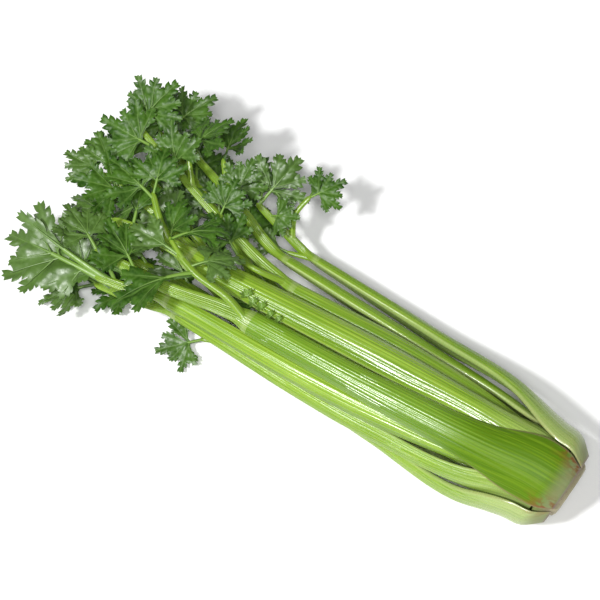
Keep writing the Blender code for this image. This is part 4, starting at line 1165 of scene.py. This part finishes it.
class Value:
    """A node's output. Arithmetic on it adds nodes."""

    def __init__(self, skin, socket):
        self.skin, self.socket = skin, socket

    def __add__(self, other):
        return self.skin.maths("ADD", self, other)

    def __mul__(self, other):
        return self.skin.maths("MULTIPLY", self, other)

    def __sub__(self, other):
        return self.skin.maths("SUBTRACT", self, other)

    def __rsub__(self, other):
        return self.skin.maths("SUBTRACT", other, self)

    def __abs__(self):
        return self.skin.maths("ABSOLUTE", self)

    def spread(self, low, high, to_low=0.0, to_high=1.0):
        """From to_low to to_high as the value goes from low to high."""
        inputs = (self, low, high, to_low, to_high)
        return self.skin.node("ShaderNodeMapRange", inputs, interpolation_type="SMOOTHSTEP")


class Skin:
    """A Principled material and its nodes."""

    def __init__(self, name):
        self.material = bpy.data.materials.new(name)
        self.material.use_nodes = True
        self.tree = self.material.node_tree

    def feed(self, socket, value):
        if isinstance(value, Value):
            self.tree.links.new(value.socket, socket)
        else:
            socket.default_value = (*value, 1.0) if isinstance(value, tuple) else value

    def node(self, kind, inputs=(), output=0, **settings):
        made = self.tree.nodes.new(kind)
        for key, value in settings.items():
            setattr(made, key, value)
        for key, value in inputs.items() if isinstance(inputs, dict) else enumerate(inputs):
            self.feed(made.inputs[key], value)
        return Value(self, made.outputs[output])

    def maths(self, operation, *inputs):
        return self.node("ShaderNodeMath", inputs, operation=operation)

    def stored(self, *names):
        """Values that the mesh holds at its vertices."""
        return [self.node("ShaderNodeAttribute", output="Fac", attribute_name=key) for key in names]

    def noise(self, where, scale, detail=2.0):
        inputs = {"Vector": where, "Scale": scale, "Detail": detail}
        return self.node("ShaderNodeTexNoise", inputs, "Fac")

    def grown(self, along, round_, tone, scale, detail=2.0):
        """Noise that follows a stalk or stem, other on each."""
        return self.noise(self.node("ShaderNodeCombineXYZ", (along, round_, tone)), scale, detail)

    def place(self):
        return self.node("ShaderNodeTexCoord", output="Object")

    def layers(self, colour, *layers):
        """The colour with others laid over it, each by its share."""
        for share, over in layers:
            inputs = {0: share, 6: colour, 7: over}
            colour = self.node("ShaderNodeMix", inputs, 2, data_type="RGBA")
        return colour

    def bump(self, height, strength, distance):
        inputs = {"Height": height, "Strength": strength, "Distance": distance}
        return self.node("ShaderNodeBump", inputs)

    def finished(self, **sockets):
        shader = self.tree.nodes["Principled BSDF"]
        for key, value in sockets.items():
            self.feed(shader.inputs[key.replace("_", " ")], value)
        return self.material


def stalk_skin():
    skin = Skin("stalk_skin")
    along, round_, share, crest, face, tone, stain = skin.stored(
        "along", "round", "share", "crest", "face", "tone", "stain"
    )
    lines = skin.grown(along * 0.012, round_, tone, 1.1, 3.0)
    fine = skin.grown(along * 0.05, round_, tone, 5.0)
    cells = skin.grown(along * 0.9, round_, tone, 1.9, 1.0)
    cloud = skin.grown(along * 0.02, round_ * 0.1, tone, 1.3)
    blot = skin.grown(along * 0.16, round_ * 0.22, tone, 1.0, 4.0)
    deep = along.spread(115, 55) * stain.spread(0.3, 1.0)
    pale_foot = along.spread(85, 12) * (1.0 - stain) * lines.spread(0.40, 0.56, 0.6, 1.0)
    end = along.spread(18, 6, 0.0, 0.85)
    brown = blot.spread(0.43, 0.55) * along.spread(30, 6) * abs(share).spread(0.3, 1.0, 0.08, 1.0)
    rim = abs(share).spread(0.93, 1.0) * along.spread(75, 45) * (stain * 0.7)
    dark = skin.layers((0.063, 0.138, 0.003), (lines.spread(0.40, 0.60), (0.107, 0.198, 0.006)))
    green = skin.layers(
        (0.142, 0.265, 0.010),
        (lines.spread(0.36, 0.64), (0.245, 0.387, 0.036)),  # long pale lines
        (crest.spread(0.1, 0.9) * 0.25, (0.261, 0.395, 0.047)),  # crests of the ribs
        (cloud.spread(0.45, 0.75, 0.0, 0.45), (0.118, 0.237, 0.009)),
        (fine.spread(0.5, 0.72, 0.0, 0.30), (0.292, 0.419, 0.079)),  # short pale fibres
        # painted shade: the grooves between the ribs are darkened as if shade falls into them
        (crest.spread(0.5, 0.0, 0.0, 0.45), (0.085, 0.175, 0.006)),  # grooves between the ribs
        (abs(share).spread(0.84, 1.0, 0.0, 0.65), (0.316, 0.395, 0.142)),  # margins
        (face * 0.5, (0.300, 0.411, 0.118)),
        (stain.spread(0.3, 1.0, 0.0, 0.5), (0.103, 0.229, 0.011)),  # the stalk on top is greener
        # painted shade: the flank of each stalk on the far side is darkened as if it were turned
        # away from the light
        (abs(share - 0.55).spread(0.45, 0.05, 0.0, 0.5), (0.079, 0.166, 0.005)),  # far flank
        (deep * 0.85, dark),  # its foot is deep green,
        (pale_foot, (0.356, 0.435, 0.158)),  # and the others' are pale
        (end, (0.213, 0.237, 0.111)),  # greyish above the cut
        (brown * stain, (0.182, 0.067, 0.016)),  # rust
        (rim, (0.284, 0.190, 0.103)),
        (along.spread(4.6, 3.1) * 0.85, (0.269, 0.213, 0.174)),  # the cut
    )
    dry = skin.maths("MAXIMUM", deep, end)
    return skin.finished(
        Base_Color=green,
        Specular_IOR_Level=along.spread(215, 140, 0.3, 0.7) * dry.spread(0.0, 0.9, 1.0, 0.15),
        Roughness=cells.spread(0.3, 0.7, 0.22, 0.34) + dry * 0.2,
        Normal=skin.bump(lines + (fine * 0.5 + cells * 0.4), 0.2, 0.0003),
        Subsurface_Weight=0.05,
        Subsurface_Scale=0.003,
    )


def stem_skin():
    skin = Skin("stem_skin")
    along, round_, crest, tone, knuckle = skin.stored("along", "round", "crest", "tone", "knuckle")
    lines = skin.grown(along * 0.02, round_, tone, 1.4, 3.0)
    cells = skin.grown(along * 0.9, round_, tone, 1.9, 1.0)
    green = skin.layers(
        (0.111, 0.213, 0.008),
        (lines.spread(0.36, 0.64), (0.194, 0.316, 0.026)),
        (crest * 0.25, (0.229, 0.356, 0.055)),
        (knuckle * 0.55, (0.363, 0.442, 0.190)),
    )
    return skin.finished(
        Base_Color=green,
        Specular_IOR_Level=0.5,
        Roughness=cells.spread(0.3, 0.7, 0.22, 0.36),
        Normal=skin.bump(lines + cells * 0.4, 0.3, 0.0004),
        Subsurface_Weight=0.05,
        Subsurface_Scale=0.003,
    )


def leaf_skin():
    skin = Skin("leaf_skin")
    vein, under, tone, stem = skin.stored("vein", "under", "tone", "stem")
    mottle, patch = skin.noise(skin.place(), 420.0, 3.0), skin.noise(skin.place(), 90.0)
    green = skin.layers(
        (0.016, 0.058, 0.002),
        (patch.spread(0.35, 0.65), (0.040, 0.109, 0.006)),
        (tone.spread(0.3, 1.0, 0.0, 0.7), (0.075, 0.142, 0.024)),
        (mottle.spread(0.45, 0.7, 0.0, 0.30), (0.071, 0.146, 0.019)),
        (under * 0.6, (0.103, 0.174, 0.055)),
        (vein * 0.5, (0.126, 0.229, 0.047)),
        (stem.spread(0.1, 0.9), (0.150, 0.269, 0.040)),
    )
    return skin.finished(
        Base_Color=green,
        Specular_IOR_Level=tone.spread(0.2, 1.0, 0.3, 0.75),
        Roughness=mottle.spread(0.3, 0.7, 0.38, 0.52),
        Normal=skin.bump(mottle, 0.2, 0.0004),
    )


def crown_skin():
    skin = Skin("crown_skin")
    along, reach = skin.stored("along", "reach")
    fibre, cloud = skin.noise(skin.place(), 900.0, 3.0), skin.noise(skin.place(), 120.0, 3.0)
    flesh = skin.layers(
        (0.521, 0.490, 0.284),
        (cloud, (0.395, 0.411, 0.190)),
        (fibre.spread(0.5, 0.7, 0.0, 0.5), (0.269, 0.190, 0.095)),
        (reach.spread(13, 19, 0.0, 0.5), (0.190, 0.134, 0.111)),  # brown rim of the cut
        (along.spread(5, 14), (0.316, 0.395, 0.126)),  # green within
    )
    grain = skin.bump(fibre, 0.5, 0.0008)
    return skin.finished(Base_Color=flesh, Specular_IOR_Level=0.4, Roughness=0.6, Normal=grain)


# ---------------------------------------------------------------- the scene

VIEW_AZIMUTH, VIEW_ELEVATION, VIEW_DISTANCE, LENS = 34.0, 65.0, 1.5, 139.0
LOOKED_AT, LIT_AT = (216.5, 15.0, 36.0), (150.0, 0.0, 36.0)
CLIP = (0.05, 20.0)
# Azimuth, elevation, distance, size and power of each light.
LIGHTS = {"key": (-20, 57, 3.0, 0.34, 85), "front": (32, 66, 3.0, 0.8, 60)}
FLOOR_HALF, FLOOR_Z, FLOOR_GREY = 3.0, -0.0002, 0.88
WORLD_STRENGTH = 0.12


def add_aimed(name, data, azimuth, elevation, distance, target):
    """A camera or light that looks at a place of the head from this direction."""
    a, e = math.radians(azimuth), math.radians(elevation)
    away = Vector((math.sin(a) * math.cos(e), -math.cos(a) * math.cos(e), math.sin(e)))
    made = bpy.data.objects.new(name, data)
    made.location = Vector(place(*target) * MM + SHIFT) + away * distance
    made.rotation_mode = "QUATERNION"
    made.rotation_quaternion = away.to_track_quat("Z", "Y")
    bpy.context.scene.collection.objects.link(made)
    return made


def add_camera():
    camera = bpy.data.cameras.new("camera")
    camera.lens = LENS
    camera.clip_start, camera.clip_end = CLIP
    view = (VIEW_AZIMUTH, VIEW_ELEVATION, VIEW_DISTANCE)
    bpy.context.scene.camera = add_aimed("camera", camera, *view, LOOKED_AT)


def add_lights():
    for name, (azimuth, elevation, distance, size, power) in LIGHTS.items():
        light = bpy.data.lights.new(name, "AREA")
        light.shape, light.size, light.energy = "DISK", size, power
        add_aimed(name, light, azimuth, elevation, distance, LIT_AT)
    world = bpy.data.worlds.new("studio")
    world.use_nodes = True
    world.node_tree.nodes["Background"].inputs["Color"].default_value = (1.0, 1.0, 1.0, 1.0)
    world.node_tree.nodes["Background"].inputs["Strength"].default_value = WORLD_STRENGTH
    bpy.context.scene.world = world
    bpy.context.scene.view_settings.view_transform = "Standard"


def add_floor():
    mesh = bpy.data.meshes.new("floor")
    corners = [(x * FLOOR_HALF, y * FLOOR_HALF, 0) for x, y in ((-1, -1), (1, -1), (1, 1), (-1, 1))]
    mesh.from_pydata(corners, [], [(0, 1, 2, 3)])
    paint = {"Base_Color": (FLOOR_GREY,) * 3, "Roughness": 0.9, "Specular_IOR_Level": 0.1}
    mesh.materials.append(Skin("floor_paint").finished(**paint))
    floor = bpy.data.objects.new("floor", mesh)
    floor.location.z = FLOOR_Z
    bpy.context.scene.collection.objects.link(floor)


def build():
    stalk, stem, leaf = stalk_skin(), stem_skin(), leaf_skin()
    stems, leaves = grown_fronds()
    for name, spec in STALKS.items():
        build_stalk(name, spec, stalk)
        build_stems(name, spec, stems[name], stem)
        build_leaves(name, leaves[name], shoots() if name == "01" else [], leaf)
    build_crown(crown_skin())


build()
add_camera()
add_lights()
add_floor()
